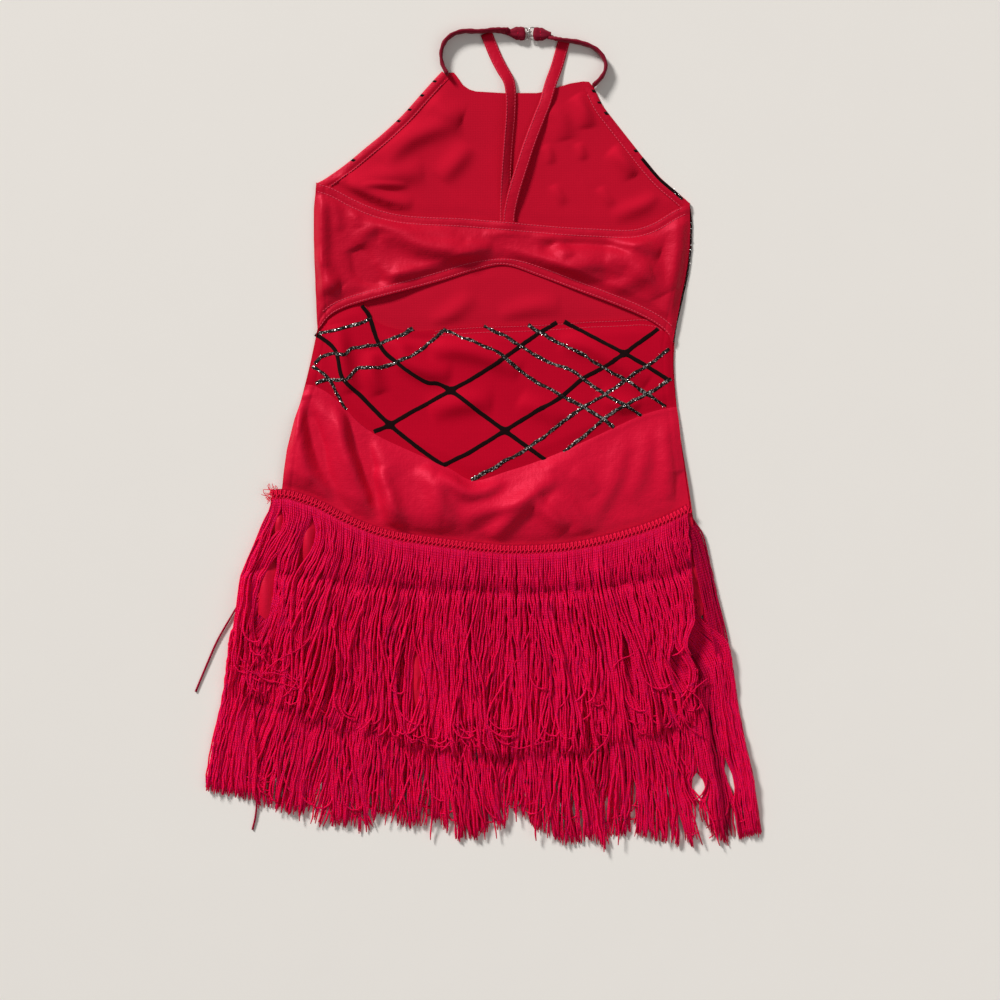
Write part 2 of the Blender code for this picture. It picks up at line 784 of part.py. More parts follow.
def grow_strand(bm, face, route):
    """Extrude the header's lower face along the strand's route."""
    previous = face.calc_center_median() / MM
    for index, point in enumerate(route):
        ahead = route[min(index + 1, len(route) - 1)]
        run = Vector((ahead.x - previous.x, ahead.y - previous.y, 0)).normalized()
        across = Vector((-run.y, run.x, 0))
        grown = bmesh.ops.extrude_discrete_faces(bm, faces=[face])
        face = grown["faces"][0]
        width = STRAND_WIDTH if index < len(route) - 1 else STRAND_WIDTH * TIP_SHARE
        by_height = sorted(face.verts, key=lambda vert: vert.co.z)
        for height, pair in ((0.0, by_height[:2]), (STRAND_DEPTH, by_height[2:])):
            left, right = sorted(pair, key=lambda vert: vert.co.x)
            middle = Vector((point.x, point.y, point.z + height))
            left.co = (middle - across * width / 2) * MM
            right.co = (middle + across * width / 2) * MM
        previous = point


def make_fringe(row):
    """A header tape whose lower edge carries every strand of the row."""
    first = row.header[0].x
    last = row.header[-1].x
    pitch = (last - first) / row.count
    stations = [first]
    for strand in range(row.count):
        middle = first + pitch * (strand + 0.5)
        stations += [middle - STRAND_WIDTH / 2, middle + STRAND_WIDTH / 2]
    stations.append(last)

    def place(column, level):
        x = stations[column]
        y = line_y(row.header, x) + HEADER_WIDTH * (level - 0.5)
        return Vector((x, y, row.header_z))

    bm = sheet(len(stations) - 1, 1, place)
    top = bmesh.ops.extrude_face_region(bm, geom=bm.faces[:], use_keep_orig=True)
    raised = [item for item in top["geom"] if isinstance(item, bmesh.types.BMVert)]
    bmesh.ops.translate(bm, verts=raised, vec=Vector((0, 0, STRAND_DEPTH * MM)))
    bmesh.ops.recalc_face_normals(bm, faces=bm.faces[:])
    bm.faces.ensure_lookup_table()

    roots = [face for face in bm.faces if face.normal.y < -0.5 and abs(face.normal.z) < 0.2]
    roots.sort(key=lambda face: face.calc_center_median().x)
    chance = random.Random(row.seed)
    for strand, face in enumerate(roots[1::2]):
        share = strand / (row.count - 1)
        root = face.calc_center_median() / MM
        if row.name == STRAY_ROW and strand == 0:
            route = stray_route(row)
        else:
            route = strand_route(row, share, root, chance)
        grow_strand(bm, face, route)
    bmesh.ops.recalc_face_normals(bm, faces=bm.faces[:])
    add_piece(row.name, bm, CHAINETTE)


clear_scene()
LEOTARD = new_collection("dance_leotard")
make_front_panel()
make_armhole_casings()
make_back_band()
make_lower_back()
make_hip_panel()
make_strap("shoulder_strap_left", LEFT_STRAP)
make_strap("shoulder_strap_right", RIGHT_STRAP)
make_neck_band("neck_band_left", LEFT_NECK_BAND)
make_neck_band("neck_band_right", RIGHT_NECK_BAND)
make_clasp()
for fringe_row in FRINGE_ROWS:
    make_fringe(fringe_row)
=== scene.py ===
"""Dressed model of a dance leotard with a fringe skirt, laid flat with its open back up.

Metres in the scene, +Z up, +Y towards the neck; the tables are in millimetres.
The height of each cloth is a function of its place in the floor plane, so ribbons,
stitches and fringe lie on the same surface as the cloth that carries them.
"""
import math
from collections import namedtuple

import bpy
import numpy as np
from bpy.props import FloatProperty, FloatVectorProperty, PointerProperty
from bpy.types import Operator, Panel, PropertyGroup
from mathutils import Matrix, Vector


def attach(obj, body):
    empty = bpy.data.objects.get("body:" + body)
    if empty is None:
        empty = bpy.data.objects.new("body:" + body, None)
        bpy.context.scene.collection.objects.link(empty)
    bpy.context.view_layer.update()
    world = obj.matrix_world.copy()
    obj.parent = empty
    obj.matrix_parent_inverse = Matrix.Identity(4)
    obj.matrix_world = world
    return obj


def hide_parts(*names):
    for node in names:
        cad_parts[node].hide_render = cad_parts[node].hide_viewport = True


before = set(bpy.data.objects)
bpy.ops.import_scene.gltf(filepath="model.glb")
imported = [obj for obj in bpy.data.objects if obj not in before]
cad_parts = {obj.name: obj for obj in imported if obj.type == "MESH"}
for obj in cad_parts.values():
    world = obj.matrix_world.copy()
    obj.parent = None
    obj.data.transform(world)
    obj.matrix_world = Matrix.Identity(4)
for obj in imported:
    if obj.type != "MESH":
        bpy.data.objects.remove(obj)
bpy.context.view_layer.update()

bl_info = {
    "name": "Dance leotard with fringe skirt",
    "version": (1, 0, 0),
    "blender": (4, 5, 0),
    "location": "View3D > Sidebar > Leotard",
    "description": "Cloth, lattice trim, clasp and fringe of a laid out dance leotard",
    "category": "Object",
}

MM = 0.001

# Layers from the floor up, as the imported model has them
FRONT_BASE = 0.6
HIP_RISE = 3.5
RISE_FROM_Y = 35.0
RISE_TO_Y = -45.0
BACK_LIFT = 1.75
BAND_LIFT = 1.7
BAND_LIFT_FROM_Y = 158.0
BAND_LIFT_TO_Y = 132.0
HEADER_Z = 6.95
FRONT_HEADER_Z = 2.0
HIGH_STRANDS = 16.0
HEADER_WIDTH = 10.0
HEADER_WALL = 1.0
BRIEF_DROP = 3.45
DROP_START = 30.0
DROP_END = 110.0
FOLD_EDGE = 13.0
CREASE_GAIN = 1.8
STRAP_WIDTH = 11.4
STRAP_WALL = 1.3
NECK_BAND_WIDTH = 9.5
NECK_BAND_ROLL = 3.6
CLASP_Y = 384.3
RING_Z = 4.2

Section = namedtuple("Section", "left_x left_y right_x right_y sag")
BandColumn = namedtuple("BandColumn", "top_x top_y arch_x arch_y")
BackColumn = namedtuple("BackColumn", "top_x top_y seam_x seam_y leg_x leg_y")
Crease = namedtuple("Crease", "height width lean line")
StrapPoint = namedtuple("StrapPoint", "x y z tilt")
NeckPoint = namedtuple("NeckPoint", "x y roll")
WirePoint = namedtuple("WirePoint", "x y z")
EdgeTick = namedtuple("EdgeTick", "x y slant width")
Parting = namedtuple("Parting", "x y half_width half_length puff")
FringeRow = namedtuple(
    "FringeRow", "name node header hem count layers first last clumps seed curls pieces")


def table(kind, *rows):
    """A short table, its columns named by kind."""
    return [kind(*row) for row in rows]


# The front panel, from the neckline down to the crotch
FRONT_SECTIONS = table(
    Section, (-36, 348, 105, 335.5, 13), (-44, 339.5, 109, 326.5, 12), (-57, 325, 115, 315, 8),
    (-73, 307, 124, 303, 4), (-92, 289, 135, 289, 1), (-109, 275, 146, 275, 0),
    (-127, 260, 158, 260, 0), (-146, 246.5, 171, 245.5, 0), (-156, 241, 185, 233.5, 0),
    (-157, 224, 198, 222, 0), (-158, 193, 200, 193, 0), (-157, 161, 197, 161, 0),
    (-156, 132, 191, 132, 0), (-155, 104, 185, 104, 0), (-162, 72, 183, 72, 0),
    (-170, 40, 185, 40, 0), (-179, 10, 188, 10, 0), (-185.5, -22, 193, -22, 0),
    (-190, -54, 198, -54, 0), (-204, -98, 204, -98, 0), (-220, -158, 211, -163, 0),
    (-172, -200, 174, -202, 0), (-124, -243, 130, -244, 0), (-91, -272, 98, -272, 0),
    (-72, -290, 75, -291, 0))
SAG_SHAPE = 0.8
ARMHOLE_SECTIONS = {"left": 9, "right": 10}
# The neckline from the left corner to the right one: x, y
NECKLINE = (
    (-37.5, 347.6), (-25.5, 347.6), (-22, 343), (-17.1, 335.8), (-11, 331.6), (-4.8, 329.7),
    (21.9, 328.2), (53.2, 328.2), (62, 330), (70.3, 332.8), (84.6, 337.3), (97, 339.4),
    (102.5, 339), (106.4, 334.5))
NECKLINE_REACH = 45.0

# The back's side seams, from the leg openings up: x, y
SIDE_LEFT = (
    (-220, -158), (-217, -139), (-208, -110), (-199, -82), (-189.5, -53), (-187, -39),
    (-183, -10), (-176, 18), (-167, 47), (-161, 75), (-155, 104), (-156, 132), (-157, 161),
    (-158, 189), (-158, 218), (-156, 243))
SIDE_RIGHT = (
    (210.5, -166), (209, -124), (204, -96), (198, -66), (194, -39), (190, -10), (187.5, 18),
    (184, 42), (182, 61), (181.5, 89), (184, 104), (189, 132), (194.8, 161), (197.5, 184),
    (198, 203), (197.8, 224))
# The back band, from the left side seam to the right one
BAND_COLUMNS = table(
    BandColumn, (-156, 243, -154, 97), (-140, 238, -151, 106), (-119, 227, -142, 117),
    (-97, 218, -127, 125), (-75, 213, -104, 132), (-50, 211, -74, 140), (-22, 210, -38, 150),
    (4, 208, -4, 160.5), (25, 206, 23, 165), (50, 204, 54, 155), (80, 201.5, 88, 142),
    (111, 200, 120, 130), (142, 199, 149, 118), (163, 205, 167, 108), (180, 215, 177, 99),
    (198, 224, 181, 90))

# The lower back panel and the hip panel meet at the V seam
BACK_COLUMNS = table(
    BackColumn, (-154, 109, -166, 52, -220, -157), (-145, 119, -157, 50, -206, -169),
    (-131, 127, -143, 42, -187, -186), (-118, 131.5, -128, 28, -166, -205),
    (-109, 126, -115, 15, -145, -224), (-101, 113, -98, 3, -124, -243),
    (-84, 105, -75, -8, -91, -272), (-58, 102, -50, -19, -72, -288),
    (-28, 105, -30, -28, -38, -292), (2, 107, -7, -39.5, 0, -293),
    (25, 107.5, 24, -31, 38, -292), (50, 108.5, 53, -21.5, 75, -290),
    (76, 110, 79, -11, 98, -271), (104, 112, 105, 1, 130, -243), (132, 113, 130, 13, 158, -217),
    (154, 114, 152, 23, 180, -196), (170, 111, 168, 28, 197, -180),
    (181, 102, 182, 31, 210, -166))

# Short marks where the lattice of the outside turns over the armhole edges
ARMHOLE_TICKS = table(
    EdgeTick, (-42.8, 339.2, 0.9, 2.2), (-55.6, 324.9, 0.9, 2.6), (-66.5, 312.6, 0.9, 2.2),
    (-77.4, 299.3, 0.9, 2.4), (-119.7, 264.1, 0.9, 3), (108.2, 329, -0.9, 3),
    (112.6, 319.6, -0.9, 2.2), (118.8, 308.8, -0.9, 3.6), (147.3, 271.7, -0.9, 3.2))

# The shoulder straps; tilt is how far the left edge of one is turned up, in degrees
LEFT_STRAP = table(
    StrapPoint, (5, 385.2, 0.6, 0), (13.5, 364, 0.9, 3), (20, 350.7, 2.4, 8),
    (26.3, 339.3, 3.6, 16), (28.4, 326, 4.4, 26), (28, 306, 4.7, 34), (26, 282, 4.6, 36),
    (24.3, 257, 4.2, 32), (23.4, 233, 2.8, 14), (23.2, 214, 1.75, 2), (23.2, 202, 1.65, 0))
RIGHT_STRAP = table(
    StrapPoint, (79.1, 379, 0.8, 0), (72.3, 354.4, 1, 0), (66.3, 337.4, 3.4, -4),
    (60.7, 318, 4.6, -4), (55.9, 306, 4.6, 0), (46.6, 281.7, 5.4, 0), (38.7, 257.4, 6.8, 2),
    (31.2, 233.2, 6.4, 2), (26.9, 214, 4, 0), (26.5, 202, 2.95, 0))

# The neck band is flat at both its ends and stands on edge between them
LEFT_NECK_BAND = table(
    NeckPoint, (-31.5, 345, 88), (-34.6, 350.5, 90), (-37, 356.5, 90), (-37.8, 366, 90),
    (-34.5, 376, 90), (-27, 383, 90), (-16.5, 386.2, 90), (-2, 386, 90), (12.3, 387.2, 85),
    (22, 386.5, 70), (28.5, 385.5, 48))
RIGHT_NECK_BAND = table(
    NeckPoint, (106.4, 334.4, 88), (112.5, 340.5, 90), (117, 347.5, 90), (118.2, 355.6, 90),
    (113, 365.5, 90), (104.3, 371.9, 90), (92.2, 375.8, 90), (80.1, 377.6, 88), (70, 379.3, 70),
    (63, 381.8, 48))
# Half of the hook's wire, from the bar in the tab out, in to the tongue, up and back over
HALF_HOOK = table(
    WirePoint, (40.6, 4.5, 2.7), (41.4, 5.3, 2.7), (43.4, 5.3, 2.7), (44.2, 3.9, 2.7),
    (44.6, 1.7, 2.7), (46.6, 1.6, 2.7), (47.5, 1.6, 3.4), (47.5, 1.6, 5), (46.6, 1.6, 5.7),
    (45.2, 1.5, 5.7), (44.4, 0.8, 5.7))
# The ring's wire, round its middle: x, y
RING = ((51.1, -4.2), (51.1, 0), (51.1, 4.2), (50, 5.4), (47.4, 5.4), (46.2, 4.2), (46.2, 0),
        (46.2, -4.2), (47.4, -5.4), (50, -5.4))

# The fringe's outer edges, from the hips down: y, left x, right x
SKIRT_EDGES = (
    (-392, -268, 269), (-324, -261, 258), (-281, -253, 249), (-247, -245, 242.5),
    (-229, -242.3, 240.5), (-194, -238.5, 234.5), (-167, -233.7, 228), (-131, -228, 220),
    (-101, -215.7, 213), (-80, -208, 207.3), (-66, -203, 198), (-50, -198, 196))
# Where the upper row's strands step up over the lower header
STEP_LINE = (
    (-200, -127), (-181.5, -131), (-129, -140), (-48, -146), (18, -148), (75, -148),
    (113, -144), (175, -134), (198, -124))
UPPER_HEADER = (
    (-198, -53), (-183, -53), (-157, -61), (-130, -75), (-104, -86), (-77, -93), (-24, -100.5),
    (20, -105), (49, -105), (79, -103), (113, -97), (152, -86), (180, -75), (197, -66))
LOWER_HEADER = (
    (-214, -149), (-150, -164), (-60, -173), (20, -177), (100, -174), (160, -167), (205, -157))
FRONT_HEADER = ((-192, -62), (-120, -84), (-40, -98), (40, -99), (120, -88), (196, -68))
# Hems run over the share of the skirt's width: share, y
UPPER_HEM = (
    (0, -236), (0.08, -252), (0.16, -262), (0.24, -278), (0.34, -292), (0.44, -300),
    (0.54, -302), (0.66, -300), (0.78, -288), (0.88, -276), (0.925, -270), (0.94, -232),
    (0.955, -200), (0.97, -186), (1, -182))
LOWER_HEM = (
    (0, -334), (0.036, -339), (0.072, -342), (0.095, -344), (0.131, -351), (0.166, -356),
    (0.183, -358), (0.211, -352), (0.221, -370), (0.254, -366), (0.284, -376), (0.306, -362),
    (0.334, -357), (0.368, -371), (0.421, -362), (0.439, -383), (0.475, -378), (0.486, -382),
    (0.516, -360), (0.543, -372), (0.563, -351), (0.593, -368), (0.625, -379), (0.65, -385),
    (0.671, -386), (0.702, -378), (0.728, -392), (0.746, -378), (0.776, -376), (0.81, -382),
    (0.842, -385), (0.858, -388), (0.868, -386), (0.873, -350), (0.895, -347), (0.902, -355),
    (0.907, -372), (0.922, -388), (0.942, -372), (0.957, -381), (1, -375))
FRINGE_ROWS = table(
    FringeRow,
    ("back_upper", "fringe_back_upper", UPPER_HEADER, UPPER_HEM, 390, 2, 0.012, 0.972, 60, 11,
     0.22, 2),
    ("back_lower", "fringe_back_lower", LOWER_HEADER, LOWER_HEM, 600, 2, 0, 1, 70, 23, 0.06, 2),
    ("front_upper", "fringe_front_upper", FRONT_HEADER, UPPER_HEM, 200, 1, 0, 1, 40, 37,
     0.05, 1),
    ("front_lower", "fringe_front_lower", LOWER_HEADER, LOWER_HEM, 520, 1, 0, 1, 50, 53,
     0.05, 1))
# Slow waves of the strands, sideways and in height
DRIFTS = ((2.1, 390, 4.5), (5.3, 230, 3.6), (11.7, 150, 2.4), (23.3, 95, 1.3))
SWELLS = ((6.3, 340, 1.1), (13.1, 190, 1.1), (27.7, 120, 0.8))
# Where the strands part: puff is how far the satin swells up there, less than 0 where
# the floor shows
PARTINGS = table(
    Parting, (-203.5, -151, 7.5, 42, 5), (-163.5, -98, 5.5, 24, 5.5), (-191, -81, 3.8, 14, 5),
    (-60.5, -228, 4.2, 38, 4.5), (206, -196, 9, 22, 0), (188, -218, 8, 22, 0),
    (206, -330, 6.5, 13, -1), (236, -322, 3.5, 22, -1))
# What the front rows lie on; the shares of strands that are short and that cross their
# neighbours; the height between layers; where the upper row is held in at the right
FRONT_BEDS = {"front_upper": 0.15, "front_lower": 1.6}
SHORT_STRANDS = 0.12
WAYWARD_STRANDS = 0.1
LAYER_STEP = 1.1
UPPER_ROW_RIGHT = 197
# The dark hole at the right: its place, and how far the shade painted on the strands under it
# reaches
SHADED_HOLE = (199, -205)
SHADED_HOLE_WIDTH = 8.0
# Strands that lie loose on the skirt, and two that have strayed out of it
LOOSE_STRANDS = (
    ((-199, -170), (-206, -190), (-204, -206), (-196, -217), (-186, -219), (-180, -211),
     (-184, -202)),
    ((-215, -160), (-222, -190), (-219, -213), (-206, -226), (-190, -230), (-172, -236)),
    ((-186, -150), (-196, -182), (-209, -203), (-221, -224), (-228, -249)),
    ((-152, -176), (-168, -196), (-190, -208), (-207, -224), (-214, -246)),
    ((-228, -214), (-212, -222), (-194, -221), (-178, -228), (-166, -241), (-168, -256)),
    ((-70, -262), (-62, -280), (-44, -290), (-26, -288), (-16, -276), (-22, -264)),
    ((12, -262), (18, -282), (34, -292), (52, -286), (60, -272)),
    ((110, -240), (122, -262), (118, -284), (104, -298), (96, -314)),
    ((168, -196), (176, -212), (190, -232), (206, -246), (214, -264)),
    ((150, -196), (142, -204), (132, -208), (124, -216)),
    ((214, -226), (200, -238), (190, -254), (196, -272), (210, -280)))
LEFT_STRAY = (
    (-206, -100), (-222, -142), (-235, -165), (-250, -191), (-261, -216), (-271, -240))
LOWER_STRAY = ((-222, -312), (-216, -328), (-213, -344), (-214, -358), (-217, -371))

# The lattice on the lower back: velvet bands, millimetres from the middle of the outline
VELVET_LINES = (
    ((-156.8, 99.8), (-137.8, 83.6), (-131.1, 57.9), (-113, 39.9), (-86.5, 13.3), (-61.8, -6.6),
     (-34.2, -26.6)),
    ((-113, 126.3), (-105.4, 114.9), (-95.9, 88.3), (-78.8, 71.2), (-53.2, 54.1), (-40.9, 52.2),
     (-28.5, 45.6), (-0.9, 24.7), (22.8, 7.6), (60.8, -19.9)),
    ((78.8, 111.1), (103.5, 97.8), (135.8, 80.8), (157.7, 68.4), (178.6, 55.1)),
    ((-101.6, 6.6), (-86.5, 13.3), (-61.8, 27.5), (-28.5, 45.6), (-1.9, 60.8), (19, 74.1),
     (37, 87.4), (56, 100.7), (72.2, 110.2)),
    ((-36.1, -25.6), (-8.5, -11.4), (22.8, 7.6), (52.2, 25.6), (75, 38.9), (95, 56),
     (115.9, 67.5), (135.8, 80.8), (168.2, 104.5)))
# The lattice's narrower glitter bands
GLITTER_LINES = (
    ((-36.1, 103.5), (-10.4, 93.1), (16.1, 81.7), (41.8, 60.8), (75, 41.8), (98.8, 29.4),
     (126.3, 11.4)),
    ((2.8, 107.3), (22.8, 96.9), (41.8, 85.5), (65.5, 72.2), (85.5, 64.6), (117.8, 41.8),
     (137.8, 31.3), (152, 21.8)),
    ((44.6, 108.3), (56, 100.7), (77, 89.3), (97.8, 78.8), (115.9, 67.5), (137.8, 55.1),
     (157.7, 42.8), (174.8, 30.4)),
    ((-159.6, 69.3), (-145.3, 57.9), (-137.8, 44.6), (-128.2, 27.5)),
    ((-153.9, 100.7), (-138.7, 102.6), (-122.5, 107.3), (-111.1, 111.1), (-104.5, 114.9)),
    ((-157.7, 71.2), (-150.1, 77.9), (-140.6, 80.8), (-128.2, 79.8), (-122.5, 85.5),
     (-111.1, 87.4), (-95.9, 90.2), (-75, 98.8), (-64.6, 104.5)),
    ((-156.8, 52.2), (-145.3, 56), (-128.2, 56), (-119.7, 63.6), (-114.9, 67.5), (-95, 67.5),
     (-79.8, 72.2), (-61.8, 80.8), (-48.4, 92.1), (-36.1, 103.5)),
    ((-9.5, -38.9), (12.3, -27.5), (33.2, -15.2), (56, -0.9), (75, 14.2), (98.8, 31.3),
     (117.8, 41.8), (137.8, 56), (157.7, 69.3), (178.6, 85.5)),
    ((77.9, -12.3), (96.9, 1.9), (115.9, 18.1), (137.8, 32.3), (157.7, 42.8), (180.5, 57)))
# Creases of the satin band: height, half width, lean and the line that the crest follows
BAND_CREASES = table(
    Crease,
    (3, 7, -0.3, ((-150, 236), (-150.5, 213), (-150.5, 184), (-149, 162))),
    (1.2, 5, -0.2, ((-143, 227), (-137, 214), (-134, 197))),
    (1.2, 5, -0.2, ((-118, 222), (-119, 212), (-116, 200))),
    (3, 8, -0.3, ((-118, 184), (-110, 194), (-98, 202), (-80, 205.5), (-60, 205), (-40, 201),
     (-24, 201))),
    (5.6, 10, -0.4, ((-96, 192), (-80, 193), (-68, 189), (-56, 183), (-42, 179.5), (-27.5, 178),
     (-14, 173), (0, 166), (12, 160), (24, 158))),
    (3.6, 8, -0.15, ((-160, 178), (-153, 166), (-144, 152), (-136, 142))),
    (-5.2, 9, 0, ((-119, 182), (-113, 169), (-110, 160), (-100, 153), (-89, 144))),
    (2.4, 9, -0.2, ((-104, 160), (-90, 155), (-74, 151), (-58, 151))),
    (3, 9, -0.35, ((-84, 156), (-66, 155), (-46, 156), (-24, 161))),
    (2.6, 7, -0.3, ((-156, 138), (-146, 143), (-134, 143))),
    (2, 6, -0.3, ((-14, 186), (-2, 182), (10, 180))),
    (4.2, 6, -0.3, ((2, 196), (18, 197.5), (34, 198.5), (48, 198), (64, 195), (80, 197.5),
     (96, 200), (112, 200), (128, 197))),
    (1.8, 30, 0, ((94, 204), (98, 178), (102, 148))),
    (-3.4, 6, 0, ((56, 179), (68, 183), (83, 185), (94, 185.5), (106, 185), (118, 184),
     (130, 181), (142, 177))),
    (2.4, 6, -0.3, ((70, 186), (78, 178), (84, 171))),
    (4.6, 8, -0.35, ((112, 197), (124.7, 195), (139, 189), (157, 180), (169, 175))),
    (4, 9, -0.35, ((22, 172), (38, 169), (54, 166), (68, 164), (86, 163), (104, 165),
     (118, 164), (134, 157))),
    (2.4, 8, -0.35, ((60, 152), (78, 151), (98, 152), (116, 150))),
    (2.8, 10, -0.3, ((118, 136), (133, 145), (148, 152), (162, 157))),
    (4.4, 13, -0.2, ((118, 172), (134, 170), (150, 163), (163, 152), (172, 136))),
    (2.4, 7, -0.3, ((184, 214), (187, 196), (185, 170), (180, 140), (176, 116))),
    (1.4, 5, -0.2, ((150, 208), (160, 204), (168, 196))))
# Creases of the lattice inset
LOWER_BACK_CREASES = table(
    Crease,
    (-2.4, 6, 0, ((-84, 101), (-68, 101), (-53, 99.5), (-36, 95))),
    (2.2, 8, -0.1, ((-136.8, 108.3), (-133, 89.3), (-129.2, 67.5), (-122.5, 44.6))),
    (2.6, 9, -0.2, ((-84.5, 95.9), (-77, 86.5), (-69.3, 73.1), (-50.3, 63.6), (-29.4, 59.8))),
    (2.2, 9, -0.2, ((-48.4, 82.6), (-21.8, 84.5), (8.5, 77), (37, 63.6))),
    (2, 10, -0.2, ((-48.4, 25.6), (-19.9, 33.2), (10.4, 35.1))),
    (1.8, 9, -0.1, ((37, 37), (60.8, 25.6), (75, 14.2))),
    (2.2, 9, -0.2, ((75, 92.1), (103.5, 86.5), (132, 69.3), (156.8, 52.2))),
    (1.4, 7, 0, ((113, 44.6), (126.3, 33.2), (151, 29.4))),
    (1.8, 8, 0, ((-103.5, 82.6), (-103.5, 63.6), (-95.9, 42.8))))
# Creases of the satin hip panel, deepest on the left
HIP_CREASES = table(
    Crease,
    (2.2, 6, -0.2, ((-176, 36), (-172, 6), (-168, -20), (-160, -44))),
    (-6.8, 9, 0, ((-166, 40), (-162, 22), (-154, -7), (-149, -28), (-139, -50), (-129, -72))),
    (3.2, 7, -0.2, ((-134, 36), (-131, 4), (-126, -16), (-119, -32), (-112, -44), (-106, -60))),
    (-7.4, 9, 0, ((-119, 44), (-118, 24), (-116, 0), (-109, -20), (-105, -38), (-99, -54),
     (-94, -80))),
    (2.2, 18, 0, ((-88, -52), (-72, -64), (-54, -74), (-36, -78))),
    (1.8, 30, 0, ((70, 30), (72, -10), (76, -50), (80, -96))),
    (2.8, 26, 0, ((-38, -20), (-26, -50), (-14, -88))),
    (2.2, 9, -0.2, ((-156, -8), (-150, -30), (-142, -52), (-134, -68))),
    (4.4, 8, -0.4, ((-98, -28), (-90, -46), (-84, -64), (-77, -84))),
    (3.6, 10, -0.35, ((-54, -24), (-44, -44), (-38, -64), (-31, -86))),
    (3.6, 7, -0.35, ((-40, -34), (-27, -42), (-14, -50), (0, -51), (12, -46), (20, -39))),
    (3.6, 8, -0.4, ((-16, -80), (-4, -72), (10, -67), (24, -64), (38, -58), (54, -48),
     (72, -39))),
    (3.8, 8, -0.35, ((10, -96), (20, -84), (32, -72), (46, -62), (60, -56))),
    (3.6, 7, -0.35, ((50, -66), (60, -68), (70, -76), (80, -86))),
    (2.2, 8, -0.25, ((66, -54), (80, -62), (92, -74), (98, -90))),
    (1.8, 9, -0.5, ((136, 6), (134, -10), (130, -28), (123, -48), (112, -66), (101, -90))),
    (1.6, 9, -0.3, ((156, 14), (156, -12), (150, -36), (140, -60))),
    (2, 8, -0.3, ((172, 20), (175, -6), (177, -33), (179, -58))),
    (-2.6, 8, 0, ((188, -30), (191, -50), (194, -66), (198, -84))),
    (2.4, 8, -0.3, ((60, -26), (78, -16), (96, -6), (110, 2))),
    (1.6, 8, -0.2, ((86, -30), (100, -40), (108, -54))))
# Soft creases of the front's inside, seen through both openings
FRONT_CREASES = table(
    Crease,
    (2.4, 10, -0.2, ((-91.2, 259.3), (-78.8, 274.6), (-63.6, 285.9), (-38.9, 295.4),
     (-18.1, 299.2))),
    (2, 9, -0.2, ((-48.4, 322.1), (-35.1, 310.6), (-18.1, 303.1))),
    (2.2, 10, -0.2, ((-124.4, 240.5), (-103.5, 246.2), (-78.8, 249.9), (-54.1, 253.6))),
    (3, 7, -0.35, ((-132, 248), (-118, 239), (-103, 231), (-86, 223.5), (-66, 219))),
    (1.2, 3, -0.2, ((-112, 239.5), (-96, 240.5), (-70, 240.2))),
    (5.4, 5, 0, ((-144, 246), (-137, 251.5), (-127, 254))),
    (1.8, 9, -0.2, ((-38.9, 246), (-23.8, 261.2), (-10.4, 278.3))),
    (2, 8, -0.1, ((90.2, 325.8), (97.8, 312.6), (101.6, 295.4))),
    (1, 4, 0, ((60.8, 278.3), (64.6, 270.8), (66.5, 261.2))),
    (1, 4, 0, ((92.1, 280.2), (95, 272.6), (97.8, 265.1))),
    (1, 4, 0, ((68.4, 240.3), (74.1, 230.8), (78.8, 223.2))),
    (1, 4, 0, ((113, 238.4), (118.8, 228.9), (125.4, 221.3))),
    (2.4, 8, -0.2, ((124.4, 274.6), (135.8, 263.1), (145.3, 249.8))),
    (1.7, 6.5, -0.2, ((125, 211), (146, 218), (158, 223.5), (166, 232))),
    (1.6, 9, -0.2, ((60.8, 314.4), (75, 303.1), (80.8, 284.1))),
    (1.4, 8, -0.1, ((-46.5, 107.3), (-33.2, 114.9), (-18.1, 126.3), (-6.6, 135.8))),
    (1.4, 8, -0.1, ((18.1, 116.8), (46.5, 124.4), (75, 126.3))))


# Colours and materials

def linear_colour(code):
    """The scene's colour for an sRGB hex value."""
    channels = [int(code[at:at + 2], 16) / 255 for at in (0, 2, 4)]
    return tuple(value / 12.92 if value <= 0.04045 else ((value + 0.055) / 1.055) ** 2.4
                 for value in channels)


def per_period(period):
    """Noise or Voronoi scale for a pattern with this period in millimetres."""
    return 1 / (period * MM)


def wave_scale(period):
    """Wave texture scale for bands this many millimetres apart."""
    return math.pi / 10 / (period * MM)


def add_node(material, kind, settings=None, values=None, feeds=None):
    """One node with its settings, its socket values and its incoming links."""
    tree = material.node_tree
    node = tree.nodes.new("ShaderNode" + kind)
    for name, value in (settings or {}).items():
        setattr(node, name, value)
    for socket, value in (values or {}).items():
        node.inputs[socket].default_value = value
    for socket, (source, output) in (feeds or {}).items():
        tree.links.new(source.outputs[output], node.inputs[socket])
    return node


def link(source, output, target, socket):
    source.id_data.links.new(source.outputs[output], target.inputs[socket])


def start_material(name, colour, roughness, metallic=0.0, **constants):
    """A Principled material with its constants set on the shader itself."""
    material = bpy.data.materials.new(name)
    material.use_nodes = True
    shader = material.node_tree.nodes["Principled BSDF"]
    constants = {"Base Color": (*colour, 1), "Roughness": roughness, "Metallic": metallic,
                 **constants}
    for socket, value in constants.items():
        shader.inputs[socket.replace("_", " ")].default_value = value
    material.diffuse_color = (*colour, 1)
    return material, shader


def shade(colour, factor):
    """The same dye, lighter or darker."""
    return tuple(min(value * factor, 1.0) for value in colour)


def pattern(material, kind, values, **settings):
    """A texture on the piece's own coordinates, in metres."""
    place = add_node(material, "TexCoord")
    return add_node(material, "Tex" + kind, settings, values,
                    {"Vector": (place, "Object")})


